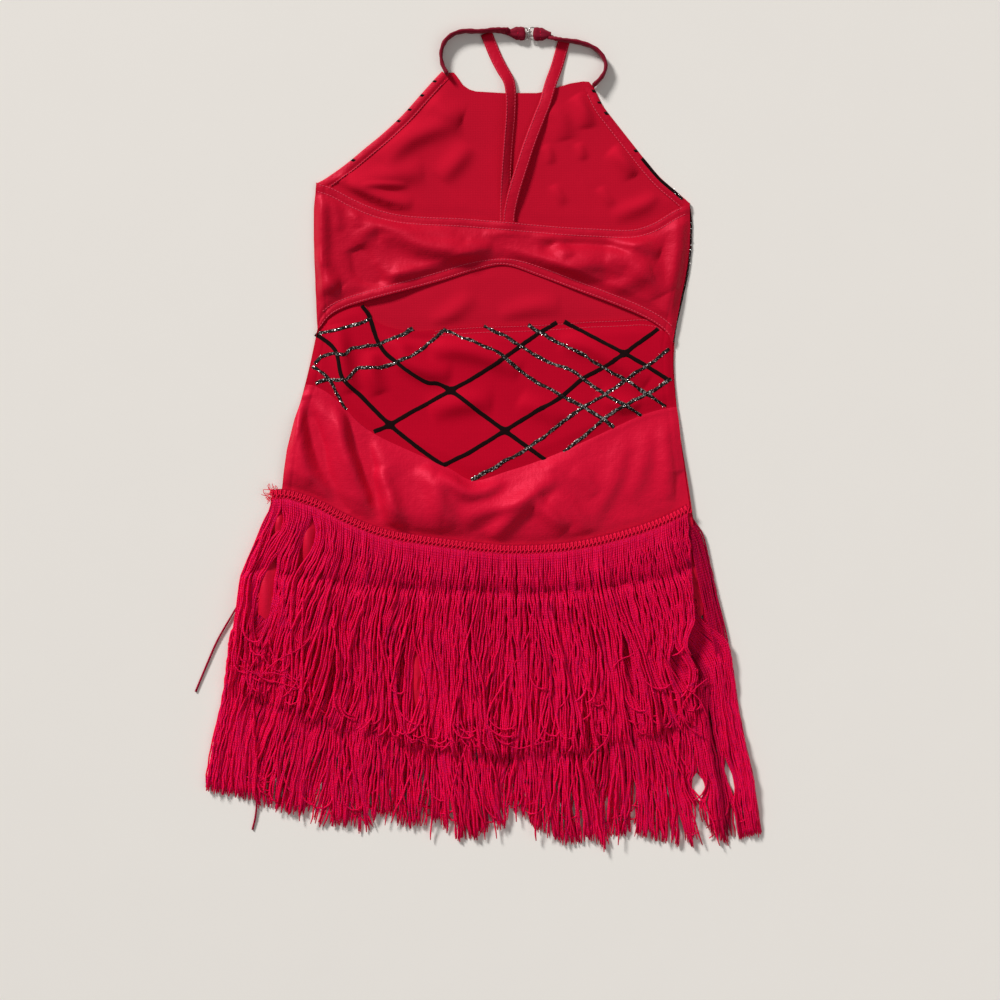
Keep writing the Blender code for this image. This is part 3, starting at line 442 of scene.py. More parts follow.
def dye_and_relief(material, shader, dark, light, by, height=None, strength=0.0, depth=0.0,
                   **settings):
    """Two shades mixed by one pattern, and the relief that a pattern gives, depth in mm."""
    tint = add_node(material, "Mix", {"data_type": 'RGBA', **settings},
                    {6: (*dark, 1), 7: (*light, 1)}, {0: by})
    link(tint, 2, shader, "Base Color")
    if height is None:
        return None
    bump = add_node(material, "Bump", {}, {
        "Strength": strength, "Distance": depth * MM}, {"Height": height})
    link(bump, "Normal", shader, "Normal")
    return bump


# Knits and tapes: gloss and tint are of the surface, sheen, haze and bloom of the fibres
# on it; wale and course are millimetres between the ribs and the rows of loops, coarser
# than the real 0.4 mm so that they show; blotch is the size of slow changes of the dye
Cloth = namedtuple("Cloth", "colour roughness gloss tint sheen haze bloom "
                            "wale course relief blotch spread")
SATIN = (0.48, 0.6, (1, 0.1, 0.2), 0.08, 0.35, (1, 0.08, 0.15), 1.3, 1.7, 0.16, 26, 0.07)
CLOTHS = {
    # Nylon and elastane warp-knit satin: calendered face, so broad soft highlights on
    # every crest and deep folds; the hip copy is lighter, a painted highlight for the hips'
    # sheen
    "satin_warp_knit": Cloth("satin", *SATIN),
    "satin_warp_knit_hip": Cloth("hip", *SATIN),
    # The matte inside of the same stretch knit: no gloss, a slightly greyer red
    "stretch_tricot_inside": Cloth("inside", 0.82, 0.12, (1, 0.2, 0.3), 0.05, 0.5,
                                   (1, 0.12, 0.18), 1.6, 1.6, 0.22, 34, 0.06),
    # Stretch velour inset: short brushed pile that gives a deeper, softer red than satin
    "brushed_stretch_inset": Cloth("inset", 0.7, 0.15, (1, 0.12, 0.22), 0.08, 0.4,
                                   (1, 0.06, 0.14), 1.4, 1.2, 0.2, 22, 0.06),
    # Knit folded over elastic: the same nylon, dyed darker as painted shade for its own shadow,
    # and a little lint-grey
    "neck_band_knit": Cloth("neck", 0.66, 0.2, (1, 0.45, 0.5), 0.15, 0.4,
                            (1, 0.4, 0.45), 1.2, 1.5, 0.25, 7, 0.16),
    # Woven header tape of the fringe, ribbed across; its colour is the overlock's at half,
    # painted shade for the gaps between the loops
    "header_tape": Cloth("tape", 0.75, 0.1, (1, 0.2, 0.3), 0, 0.5, (1, 1, 1),
                         1.8, 2.6, 0.35, 9, 0.14),
}


def cloth_material(name, colour):
    """Fine ribs one way and courses the other, over slow changes of the dye."""
    kind = CLOTHS[name]
    material, shader = start_material(
        name, colour, kind.roughness, Specular_IOR_Level=kind.gloss,
        Specular_Tint=(*kind.tint, 1), Sheen_Weight=kind.sheen, Sheen_Roughness=kind.haze,
        Sheen_Tint=(*kind.bloom, 1))
    ribs = pattern(material, "Wave", {
        "Scale": wave_scale(kind.wale), "Distortion": 1.5, "Detail": 1.0,
        "Detail Scale": 2.0}, bands_direction='X')
    courses = pattern(material, "Wave", {
        "Scale": wave_scale(kind.course), "Distortion": 2.5, "Detail": 1.0,
        "Detail Scale": 1.5}, bands_direction='Y')
    cloud = pattern(material, "Noise", {
        "Scale": per_period(kind.blotch), "Detail": 4.0, "Roughness": 0.62})
    loops = add_node(material, "Math", {"operation": 'MULTIPLY'},
                     feeds={0: (ribs, "Fac"), 1: (courses, "Fac")})
    both = add_node(material, "Math", {"operation": 'MULTIPLY_ADD'},
                    {1: 0.45}, {0: (loops, "Value"), 2: (cloud, "Fac")})
    blend = add_node(material, "MapRange", values={
        "From Min": 0.3, "From Max": 1.0}, feeds={"Value": (both, "Value")})
    knit = dye_and_relief(
        material, shader, shade(colour, 1 - kind.spread), shade(colour, 1 + kind.spread),
        (blend, "Result"), (loops, "Value"), kind.relief, 0.4)
    if name.startswith("satin"):
        # Worn soft, satin is full of shallow dents, 5 to 25 mm across.
        gloss = add_node(material, "MapRange", values={
            "To Min": 0.42, "To Max": 0.55}, feeds={"Value": (cloud, "Fac")})
        link(gloss, "Result", shader, "Roughness")
        dents = add_node(material, "Bump", values={
            "Strength": 0.6, "Distance": 2.6 * MM}, feeds={"Height": (cloud, "Fac")})
        link(dents, "Normal", knit, "Normal")
    return material


def velvet_material(name, colour):
    # Flocked velvet ribbon: nearly black, no gloss, a faint warm edge from its pile.
    material, shader = start_material(
        name, colour, 0.95, Specular_IOR_Level=0.05, Sheen_Weight=0.12, Sheen_Roughness=0.6,
        Sheen_Tint=(0.7, 0.4, 0.4, 1.0))
    pile = pattern(material, "Noise", {"Scale": per_period(0.9), "Detail": 3.0})
    dye_and_relief(material, shader, shade(colour, 0.6), shade(colour, 1.9), (pile, "Fac"),
                   (pile, "Fac"), 0.4, 0.4)
    return material


def glitter_material(name, colour):
    # Glitter flock on black: dark ground with crumbs of grey and silver about 1 mm wide.
    material, shader = start_material(name, colour, 0.6, Specular_IOR_Level=0.2)
    crumbs = pattern(material, "Voronoi", {"Scale": per_period(1.15), "Randomness": 1.0})
    lit = add_node(material, "SeparateColor", feeds={"Color": (crumbs, "Color")})
    bright = add_node(material, "MapRange", values={
        "From Min": 0.8, "From Max": 0.98}, feeds={"Value": (lit, "Red")})
    sparkle = shade(tuple(bpy.context.scene.leotard_colours.silver), 0.7)
    dye_and_relief(material, shader, colour, sparkle, (bright, "Result"),
                   (crumbs, "Distance"), 0.8, 0.5)
    link(bright, "Result", shader, "Metallic")
    return material


def spangle_material(name, colour):
    # Cut foil flakes in the glitter: bright silver, each facet throws its own glint.
    material, shader = start_material(name, colour, 0.28, 1.0)
    cells = pattern(material, "Voronoi", {"Scale": per_period(1.4)})
    part = add_node(material, "SeparateColor", feeds={"Color": (cells, "Color")})
    dye_and_relief(material, shader, shade(colour, 0.5), shade(colour, 1.1), (part, "Green"))
    return material


def thread_material(name, colour):
    # Spun polyester thread: matte, with a fine twist along each stitch; overlock is bulky.
    twist = 0.9 if name == "overlock_thread" else 0.5
    material, shader = start_material(
        name, colour, 0.6, Specular_IOR_Level=0.25, Specular_Tint=(1.0, 0.3, 0.4, 1.0))
    plies = pattern(material, "Wave", {"Scale": wave_scale(twist), "Distortion": 1.0},
                    bands_direction='DIAGONAL')
    dye_and_relief(material, shader, shade(colour, 0.75), shade(colour, 1.15), (plies, "Fac"))
    return material


def chainette_material(name, colour):
    # Rayon chainette: knitted cord with a soft lustre. Its chain of loops is drawn at
    # 2.4 mm along each strand, and every strand has taken the dye a little differently;
    # some strands are also darkened there as painted shade.
    # Light passes through the yarn, which softens the shade between strands.
    material, shader = start_material(
        name, colour, 0.5, Specular_IOR_Level=0.28, Subsurface_Weight=0.6,
        Subsurface_Radius=(1.0, 0.2, 0.3), Subsurface_Scale=1.8 * MM,
        Specular_Tint=(1.0, 0.1, 0.25, 1.0), Sheen_Weight=0.08, Sheen_Roughness=0.4,
        Sheen_Tint=(1.0, 0.08, 0.2, 1.0))
    along = add_node(material, "Attribute", {"attribute_name": "along"})
    dye = add_node(material, "Attribute", {"attribute_name": "dye"})
    turns = add_node(material, "Math", {"operation": 'MULTIPLY'},
                     {1: 2 * math.pi / 2.4}, {0: (along, "Fac")})
    loops = add_node(material, "Math", {"operation": 'SINE'},
                     feeds={0: (turns, "Value")})
    share = add_node(material, "Math", {"operation": 'MULTIPLY_ADD'},
                     {1: 0.1}, {0: (loops, "Value"), 2: (dye, "Fac")})
    # Painted shade: the strands are darker for their first 80 mm under the tape, where they lie
    # packed close.
    painted_shade_near_tape = add_node(material, "MapRange", values={
        "From Max": 80.0, "To Min": -1.0, "To Max": 0.0}, feeds={"Value": (along, "Fac")})
    tone_with_painted_shade = add_node(material, "Math", {"operation": 'ADD'},
                      feeds={0: (share, "Value"), 1: (painted_shade_near_tape, "Result")})
    dye_and_relief(material, shader, shade(colour, 0.89), shade(colour, 1.08),
                   (tone_with_painted_shade, "Value"), (loops, "Value"), 0.35, 0.3, clamp_factor=False)
    return material


def steel_material(name, colour):
    # Nickel-plated steel wire: bright, with faint drawing marks.
    material, shader = start_material(name, colour, 0.2, 1.0)
    marks = pattern(material, "Noise", {"Scale": per_period(0.8), "Detail": 2.0})
    gloss = add_node(material, "MapRange", values={
        "To Min": 0.12, "To Max": 0.3}, feeds={"Value": (marks, "Fac")})
    link(gloss, "Result", shader, "Roughness")
    return material


def paper_material(name, colour):
    # Matte backdrop paper, almost even.
    material, shader = start_material(name, colour, 0.95, Specular_IOR_Level=0.1)
    fibre = pattern(material, "Noise", {"Scale": per_period(60), "Detail": 3.0})
    dye_and_relief(material, shader, shade(colour, 0.985), colour, (fibre, "Fac"))
    return material


# Each material's maker, and the colour that it takes from the sidebar
OTHER_LOOKS = {
    "flocked_velvet_ribbon": (velvet_material, "velvet"),
    "black_glitter_trim": (glitter_material, "velvet"),
    "silver_foil_flakes": (spangle_material, "silver"),
    "sewing_thread": (thread_material, "thread"),
    "overlock_thread": (thread_material, "overlock"),
    "rayon_chainette": (chainette_material, "fringe"),
    "nickel_plated_wire": (steel_material, "silver"),
    "matte_backdrop_paper": (paper_material, "floor"),
}


def look(name):
    """Each material is made once, from the scene's colour for it."""
    found = bpy.data.materials.get(name)
    if found:
        return found
    colours = bpy.context.scene.leotard_colours
    if name in CLOTHS:
        kind = CLOTHS[name].colour
        # Painted shade: the tape takes half the overlock's colour, for the shade between the
        # loops over it
        colour = (shade(tuple(colours.overlock), 0.5) if kind == "tape"
                  else tuple(getattr(colours, kind)))
        return cloth_material(name, colour)
    make, kind = OTHER_LOOKS[name]
    return make(name, tuple(getattr(colours, kind)))


# Numbers along lines and tables

def smooth_step(value):
    value = np.clip(value, 0.0, 1.0)
    return value * value * (3 - 2 * value)


def ramp(value, start, end):
    """0 up to the start, 1 from the end on, smooth between them."""
    return smooth_step((value - start) / (end - start))


def smooth_rows(table, count):
    """Rows on a smooth curve through all of a table's rows, Catmull-Rom."""
    values = np.array(table, dtype=float)
    ends = np.vstack([2 * values[0] - values[1], values, 2 * values[-1] - values[-2]])
    at = np.linspace(0, len(values) - 1, count)
    index = np.minimum(at.astype(int), len(values) - 2)
    t = (at - index)[:, None]
    before, start, end, after = (ends[index + step] for step in range(4))
    return 0.5 * (2 * start + (end - before) * t
                  + (2 * before - 5 * start + 4 * end - after) * t ** 2
                  + (3 * start - before - 3 * end + after) * t ** 3)


def path_lengths(path):
    """Distance from the start of a path to each of its points."""
    steps = np.linalg.norm(np.diff(path, axis=0), axis=1)
    return np.concatenate([[0.0], np.cumsum(steps)])


def even_path(points, spacing):
    """The smooth path through some points, with points at an even spacing."""
    fine = smooth_rows(points, len(points) * 12)
    lengths = path_lengths(fine)
    count = max(int(round(lengths[-1] / spacing)), 2) + 1
    at = np.linspace(0, lengths[-1], count)
    return np.stack([np.interp(at, lengths, fine[:, axis]) for axis in range(fine.shape[1])], 1)


def across_path(path):
    """Unit vectors in the floor plane, to the left of the way along a path."""
    along = np.gradient(path[:, :2], axis=0)
    along /= np.linalg.norm(along, axis=1)[:, None] + 1e-9
    return np.stack([-along[:, 1], along[:, 0]], 1)


def hump(x, middle, width):
    """A soft bump: 1 at its middle, 0.37 at its width from there."""
    return np.exp(-((x - middle) / width) ** 2)


def line_at(line, x):
    """Height of a line of points at x, level beyond its ends."""
    line = np.array(line, dtype=float)
    return np.interp(x, line[:, 0], line[:, 1])


# The heights of the cloths, as functions of the place in the floor plane

SMOOTH_BAND = smooth_rows(BAND_COLUMNS, 151)
SMOOTH_BACK = smooth_rows(BACK_COLUMNS, 151)
SMOOTH_FRONT = smooth_rows(FRONT_SECTIONS[::-1], 181)
BAND_TOP = SMOOTH_BAND[:, 0:2]
BAND_ARCH = SMOOTH_BAND[:, 2:4]
BACK_TOP = SMOOTH_BACK[:, 0:2]
V_SEAM = SMOOTH_BACK[:, 2:4]
LEG_LINE = SMOOTH_BACK[:, 4:6]


def crease_height(creases, x, y, depth):
    """Height that the creases give the cloth; each fades out towards its ends."""
    total = np.zeros(np.shape(x))
    for crease in creases:
        line = smooth_rows(crease.line, 3 * len(crease.line))
        lengths = path_lengths(line)
        nearest = np.full(np.shape(x), 1e9)
        side = np.zeros(np.shape(x))
        along = np.zeros(np.shape(x))
        for start, end, before in zip(line[:-1], line[1:], lengths[:-1]):
            run = end - start
            length = math.hypot(*run)
            along_run = (x - start[0]) * run[0] + (y - start[1]) * run[1]
            share = np.clip(along_run / length ** 2, 0, 1)
            away_x = x - start[0] - run[0] * share
            away_y = y - start[1] - run[1] * share
            away = np.hypot(away_x, away_y)
            closer = away < nearest
            nearest = np.where(closer, away, nearest)
            lit = (away_y - away_x) * 0.7071 / (away + 0.5)
            side = np.where(closer, lit, side)
            along = np.where(closer, before + share * length, along)
        width = crease.width * (1 - crease.lean * (0.1 + 0.6 * side))
        fade = np.sin(math.pi * np.clip(along / lengths[-1], 0, 1)) ** 0.6
        total += CREASE_GAIN * crease.height * depth * hump(nearest, 0, width) * fade
    return total


def edge_fade(distance):
    return smooth_step(distance / FOLD_EDGE)


def hip_rise(y):
    """The garment lies on the floor, and on the front fringe from the hips down."""
    return HIP_RISE * ramp(y, RISE_FROM_Y, RISE_TO_Y)


def side_x(side, y):
    """Outline of the back at height y, to the left or the right."""
    outline = np.array(SIDE_LEFT if side == "left" else SIDE_RIGHT, dtype=float)
    return np.interp(y, outline[:, 1], outline[:, 0])


def side_distance(x, y):
    """Distance to the nearer outline of the back, negative outside."""
    return np.minimum(x - side_x("left", y), side_x("right", y) - x)


def side_roll(x, y):
    """Both side seams pull the back down on to the front, with a seam line inside them."""
    distance = side_distance(x, y)
    return -0.5 * (1 - smooth_step(distance / 4.5)) - 0.45 * hump(distance, 9, 1.1)


def soft_floor(z, lowest):
    """Keep a cloth above what it lies on, without a sharp break."""
    over = z - lowest
    return lowest + 0.5 * (over + np.sqrt(over * over + 0.16))


def hem_relief(distance, width):
    """A turned hem: a low pillow between two stitch lines, dipped under both."""
    doubled = 0.35 * (1 - smooth_step((distance - width) / 1.6))
    share = np.clip((distance - 1.4) / (width - 1.4), 0, 1)
    return doubled + 0.7 * np.sin(math.pi * share) - 0.25 * hump(distance, width, 0.9)


def front_edges(y):
    """The front's left and right outline at height y."""
    return (np.interp(y, SMOOTH_FRONT[:, 1], SMOOTH_FRONT[:, 0]),
            np.interp(y, SMOOTH_FRONT[:, 3], SMOOTH_FRONT[:, 2]))


def front_under(x, y):
    """Underside of the front panel."""
    left, right = front_edges(y)
    free = edge_fade(np.minimum(x - left, right - x) * 0.75 - 3)
    upper = smooth_step((y - line_at(BAND_TOP, x) - 2) / 9)
    lower = smooth_step((line_at(BAND_ARCH, x) - y - 2) / 9) * smooth_step(
        (y - line_at(BACK_TOP, x) - 2) / 9)
    creases = crease_height(FRONT_CREASES, x, y, 1.3 * fold_depth())
    z = FRONT_BASE + hip_rise(y) + free * np.maximum(upper, lower) * (0.6 + creases)
    return soft_floor(z, 0.3)


def arch_hem_width(x):
    """The arch's hem is narrowest at its peak."""
    return hem_width() * (1 - 0.35 * hump(x, 18, 20))


def band_under(x, y):
    """Underside of the back band: it lies on the inset's corners below."""
    from_top = (line_at(BAND_TOP, x) - y) * 0.97
    from_arch = (y - line_at(BAND_ARCH, x)) * 0.93
    hem = hem_width()
    arch_hem = arch_hem_width(x)
    free = edge_fade(np.minimum(from_top - hem, from_arch - arch_hem) + 3)
    free = free * edge_fade(side_distance(x, y) + 4)
    lift = BAND_LIFT * ramp(y, BAND_LIFT_FROM_Y, BAND_LIFT_TO_Y)
    near_top = 1 - smooth_step((from_top - 3) / 13)
    stands_off = 2.4 * hump(x, -90, 24) * (1 - smooth_step((from_arch - 3) / 16))
    over_straps = 2.9 * hump(x, 24.5, 12) * near_top
    over_casings = 1.3 * (hump(x, 190, 13) + hump(x, -152, 9)) * near_top
    relief = np.where(from_top < from_arch, hem_relief(np.maximum(from_top, 0), hem),
                      hem_relief(np.maximum(from_arch, 0), arch_hem))
    z = (BACK_LIFT + lift + over_straps + over_casings + stands_off
         + free * (2.6 + crease_height(BAND_CREASES, x, y, fold_depth()))
         + relief + side_roll(x, y))
    return soft_floor(z, BACK_LIFT - 0.25)


def lower_back_under(x, y):
    """Underside of the lattice inset."""
    from_top = (line_at(BACK_TOP, x) - y) * 0.95
    from_seam = (y - line_at(V_SEAM, x)) * 0.9
    free = edge_fade(np.minimum(from_top - 2, from_seam)) * edge_fade(side_distance(x, y) + 3)
    seam = -0.45 * (1 - smooth_step(from_seam / 3.0))
    z = (hip_rise(y) + BACK_LIFT + 0.2
         + free * (1.8 + crease_height(LOWER_BACK_CREASES, x, y, 1.5 * fold_depth()))
         + seam + side_roll(x, y))
    return soft_floor(z, hip_rise(y) + BACK_LIFT - 0.25)


def near_parting(gap, x, y, wide, long):
    """1 at the middle of a parting of the fringe, fading out around it."""
    return np.exp(-((x - gap.x) / (wide * gap.half_width)) ** 2
                  - ((y - gap.y) / (long * gap.half_length)) ** 2)


def hip_under(x, y):
    """Underside of the hip panel, held flat by the V seam and under the fringe header."""
    from_seam = (line_at(V_SEAM, x) - y) * 0.9
    from_header = y - line_at(UPPER_HEADER, x) - HEADER_WIDTH / 2
    right = smooth_step((x - 50) / 60)
    free = smooth_step(from_seam / (9 + 18 * right)) * smooth_step((from_header + 1) / 10)
    free = free * edge_fade(side_distance(x, y) + 6)
    puffed = smooth_step(from_seam / 22) * smooth_step((from_header + 1) / 22) * (1 - right)
    left = 1 - smooth_step((x + 105) / 60)
    seam = 0.35 * hump(from_seam, 3, 2.2) - 0.4 * (1 - smooth_step(from_seam / 2.4))
    for gap in PARTINGS:
        if gap.puff:
            seam = seam + gap.puff * near_parting(gap, x, y, 0.95, 0.72)
    creases = crease_height(HIP_CREASES, x, y, fold_depth())
    z = (hip_rise(y) + BACK_LIFT + 0.1 + free * (1.2 + (2.6 + 3.4 * left) * puffed + creases)
         + seam + side_roll(x, y))
    return soft_floor(z, hip_rise(y) + BACK_LIFT - 0.25)


def on_top(under, lift=0.0):
    """The upper face of a cloth, or a level over it, as a function of the place."""
    return lambda x, y: under(x, y) + cloth_wall() + lift


front_top = on_top(front_under)
lower_back_top = on_top(lower_back_under)


# Making meshes

def fold_depth():
    return bpy.context.scene.leotard_cloth.fold_depth


def cloth_wall():
    return bpy.context.scene.leotard_cloth.wall / MM


def hem_width():
    return bpy.context.scene.leotard_cloth.hem_width / MM


def pick(piece):
    """Select this piece alone, so that the next operators act on nothing else."""
    bpy.ops.object.select_all(action='DESELECT')
    piece.select_set(True)
    bpy.context.view_layer.objects.active = piece


def mesh_piece(name, points, faces, *looks):
    """A new piece at the origin, from points in millimetres."""
    mesh = bpy.data.meshes.new(name)
    mesh.from_pydata((np.asarray(points, dtype=float) * MM).tolist(), [], faces)
    mesh.update()
    for item in looks:
        mesh.materials.append(look(item))
    piece = bpy.data.objects.new(name, mesh)
    bpy.context.scene.collection.objects.link(piece)
    pick(piece)
    bpy.ops.object.shade_smooth()
    return piece


def turn_faces_out():
    """Make the faces of the selected piece face outwards."""
    bpy.ops.object.mode_set(mode='EDIT')
    bpy.ops.mesh.select_all(action='SELECT')
    bpy.ops.mesh.normals_make_consistent(inside=False)
    bpy.ops.object.mode_set(mode='OBJECT')


def grid_faces(rows, columns, closed=False, start=0):
    """Quads of a grid of points, row by row; closed joins the last column to the first."""
    row = np.arange(rows - 1)[:, None] * columns
    column = np.arange(columns if closed else columns - 1)[None, :]
    after = (column + 1) % columns
    upper = row + columns
    quads = np.stack([row + column, row + after, upper + after, upper + column], -1)
    return (quads.reshape(-1, 4) + start).tolist()


def cloth_shell(name, points, looks, wall=None):
    """A closed thin shell over a grid of points on its underside."""
    rows, columns = points.shape[:2]
    piece = mesh_piece(name, points.reshape(-1, 3), grid_faces(rows, columns), *looks)
    shell = piece.modifiers.new("wall", 'SOLIDIFY')
    shell.thickness = (wall or cloth_wall()) * MM
    shell.offset = 1.0
    shell.use_rim = True
    bpy.ops.object.modifier_apply(modifier="wall")
    bpy.ops.object.shade_smooth_by_angle(angle=math.radians(55))
    return piece


def between_lines(lower, upper, rows, under):
    """A grid from one line to another, with the heights that a cloth has there."""
    share = np.linspace(0, 1, rows)[:, None, None]
    flat = lower[None] * (1 - share) + upper[None] * share
    across = np.linspace(0, 1, len(lower))[None, :]
    left = side_x("left", flat[:, :1, 1]) - flat[:, :1, 0]
    right = side_x("right", flat[:, -1:, 1]) - flat[:, -1:, 0]
    flat[..., 0] += left * (1 - across) ** 6 + right * across ** 6
    return raised(flat, under)


def raised(flat, surface, rise=0.0):
    """Points of the floor plane at their height on a surface, or over it."""
    z = surface(flat[..., 0], flat[..., 1]) + rise
    return np.concatenate([flat, z[..., None]], -1)


def tube_points(path, radii, sides):
    """Rings round many paths at once: paths is strands by points by three."""
    along = np.gradient(path, axis=1)
    along /= np.linalg.norm(along, axis=2, keepdims=True) + 1e-9
    side = np.stack([-along[..., 1], along[..., 0], np.zeros(along.shape[:2])], -1)
    side /= np.linalg.norm(side, axis=2, keepdims=True) + 1e-9
    up = np.cross(along, side)
    turn = np.arange(sides) * 2 * math.pi / sides
    ring = (side[:, :, None] * np.cos(turn)[None, None, :, None]
            + up[:, :, None] * np.sin(turn)[None, None, :, None])
    return path[:, :, None] + ring * radii[..., None, None]


def tube_faces(count, length, sides):
    """Faces of many tubes of the same make, each closed by a fan at both ends."""
    poles = length * sides
    last = poles - sides
    turns = [(item, (item + 1) % sides) for item in range(sides)]
    one = grid_faces(length, sides, closed=True)
    one += [(after, item, poles) for item, after in turns]
    one += [(last + item, last + after, poles + 1) for item, after in turns]
    return [[corner + start for corner in face]
            for start in range(0, count * (poles + 2), poles + 2) for face in one]


def tubes(name, path, radii, sides, material, dye=None):
    """One piece of many round strands; along, and the dye with its painted shade, are kept for
    its material.
    """
    count, length = path.shape[:2]
    rings = tube_points(path, radii, sides).reshape(count, -1, 3)
    points = np.concatenate([rings, path[:, [0, -1]]], 1)
    faces = tube_faces(count, length, sides)
    piece = mesh_piece(name, points.reshape(-1, 3), faces, material)
    if dye is None:
        return piece
    steps = np.linalg.norm(np.diff(path, axis=1), axis=2)
    along = np.concatenate([np.zeros((count, 1)), np.cumsum(steps, 1)], 1)
    on_points = np.concatenate([np.repeat(along, sides, axis=1), along[:, [0, -1]]], 1)
    for label, values in (("along", on_points),
                          ("dye", np.repeat(dye[:, None], points.shape[1], 1))):
        layer = piece.data.attributes.new(label, 'FLOAT', 'POINT')
        layer.data.foreach_set("value", values.ravel().astype(np.float32))
    return piece


def finish_piece(piece, slot, *nodes):
    """Every piece rides on the leotard's one body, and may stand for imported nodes."""
    if nodes:
        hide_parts(*nodes)
    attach(piece, "root")


# The cloth

def make_front_panel():
    columns = np.linspace(0, 1, 121)[None, :]
    left = SMOOTH_FRONT[:, None, 0:2]
    right = SMOOTH_FRONT[:, None, 2:4]
    flat = left * (1 - columns[..., None]) + right * columns[..., None]
    sag = SMOOTH_FRONT[:, 4][:, None] * np.sin(math.pi * columns) ** SAG_SHAPE
    flat[..., 1] -= sag
    neckline = line_at(NECKLINE, flat[-1, :, 0]) - flat[-1, :, 1]
    below = flat[-1:, :, 1] - flat[..., 1]
    flat[..., 1] += neckline * (1 - smooth_step(below / NECKLINE_REACH))
    piece = cloth_shell("front_panel_cloth", raised(flat, front_under),
                        ("stretch_tricot_inside", "brushed_stretch_inset"))
    for face in piece.data.polygons:
        face.material_index = 0 if face.normal.z > 0.2 else 1
    finish_piece(piece, "knit", "front_panel")


def armhole_edge(side):
    """The armhole's edge from the underarm up to the neck."""
    rows = FRONT_SECTIONS[:ARMHOLE_SECTIONS[side]][::-1]
    if side == "left":
        return even_path([(row.left_x, row.left_y) for row in rows], 3.0)
    return even_path([(row.right_x, row.right_y) for row in rows], 3.0)


def inward(path, distance):
    """A path moved from an armhole edge on to the front panel."""
    across = across_path(path)
    if np.mean(across[:, 1]) > 0:
        across = -across
    return path + across * distance


def make_armhole_casings():
    """The edges turned over to the inside, rolled round the outline."""
    hem = hem_width()
    profile = ((-0.2, -0.6), (-0.75, -0.3), (-0.95, 0.15), (-0.7, 0.75), (0.1, 1.0),
               (2.2, 1.45), (4.2, 1.6), (hem - 3.2, 1.3), (hem - 1.6, 0.45), (hem - 0.7, 0.5),
               (hem, 0.55))
    for side, node in (("left", "armhole_casing_left"), ("right", "armhole_casing_right")):
        edge = armhole_edge(side)
        rows = []
        for distance, rise in profile:
            flat = inward(edge, distance)
            on_cloth = inward(edge, max(distance, 0.2))
            z = front_top(on_cloth[:, 0], on_cloth[:, 1]) + rise - 0.45
            rows.append(np.column_stack([flat, z]))
        points = np.array(rows)
        if side == "left":
            points = points[::-1]
        piece = cloth_shell("armhole_casing_cloth_" + side, points, ("satin_warp_knit",), 0.5)
        finish_piece(piece, "elastic", node)


def make_back_part(name, material, slot, nodes, lower, upper, under, rows=61, gap=0.0):
    """A sheet of the back between two lines, ending a gap below the upper one."""
    points = between_lines(lower, upper - np.array([0, gap]), rows, under)
    piece = cloth_shell(name, points, (material,))
    finish_piece(piece, slot, *nodes)


# The lattice

def ribbon_points(path, width, rise, surface, rng, wobble, bulges):
    """Rows of points across a ribbon that follows a cloth, the outer ones down on it."""
    path = even_path(path, 2.0)
    across = across_path(path)
    drift = np.convolve(rng.normal(0, wobble, len(path) + 4), np.ones(5) / 5, "valid")
    path = path + across * drift[:, None]
    widths = width + np.convolve(rng.normal(0, wobble, len(path) + 2), np.ones(3) / 3, "valid")
    for x, y in bulges:
        away = np.hypot(path[:, 0] - x, path[:, 1] - y)
        widths += 1.1 * hump(away, 0, 3.2)
    rows = []
    for share, height in ((-0.5, -0.15), (-0.32, rise), (0, rise * 1.1), (0.32, rise),
                          (0.5, -0.15)):
        flat = path + across * (widths * share)[:, None]
        rows.append(raised(flat, surface, height))
    return np.array(rows)


def line_crossings(lines):
    """Where straight runs of some lines cross each other."""
    found = []
    for at, one in enumerate(lines):
        for other in lines[at + 1:]:
            for a, b in zip(one[:-1], one[1:]):
                for c, d in zip(other[:-1], other[1:]):
                    run_x, run_y = b[0] - a[0], b[1] - a[1]
                    cut_x, cut_y = d[0] - c[0], d[1] - c[1]
                    cross = run_x * cut_y - run_y * cut_x
                    if abs(cross) < 1e-6:
                        continue
                    t = ((c[0] - a[0]) * cut_y - (c[1] - a[1]) * cut_x) / cross
                    s = ((c[0] - a[0]) * run_y - (c[1] - a[1]) * run_x) / cross
                    if 0 <= t <= 1 and 0 <= s <= 1:
                        found.append((a[0] + run_x * t, a[1] + run_y * t))
    return found


def ribbons(name, lines, width, rise, surface, material, seed, wobble, slot, bulges=(),
            down=False):
    """One piece of flat ribbons, each a closed strip on the cloth."""
    rng = np.random.default_rng(seed)
    points = []
    faces = []
    for line in lines:
        rows = ribbon_points(line, width, rise, surface, rng, wobble, bulges)
        if down:
            rows = rows[::-1]
        under = rows[::-1].copy()
        under[..., 2] = rows[::-1, :, 2] + (0.45 if down else -0.45)
        ring = np.concatenate([rows, under]).transpose(1, 0, 2)
        start = sum(len(item) for item in points)
        count, sides = ring.shape[:2]
        points.append(ring.reshape(-1, 3))
        quads = grid_faces(count, sides, closed=True, start=start)
        faces += [face[::-1] for face in quads]
        faces.append([start + item for item in range(sides)])
        faces.append([start + (count - 1) * sides + item for item in range(sides)][::-1])
    finish_piece(mesh_piece(name, np.concatenate(points), faces, material), slot)


def turned(points, first, second, angles):
    """Each flake's points, turned in the plane of two axes."""
    cos, sin = np.cos(angles)[:, None], np.sin(angles)[:, None]
    result = points.copy()
    result[..., first] = points[..., first] * cos - points[..., second] * sin
    result[..., second] = points[..., first] * sin + points[..., second] * cos
    return result


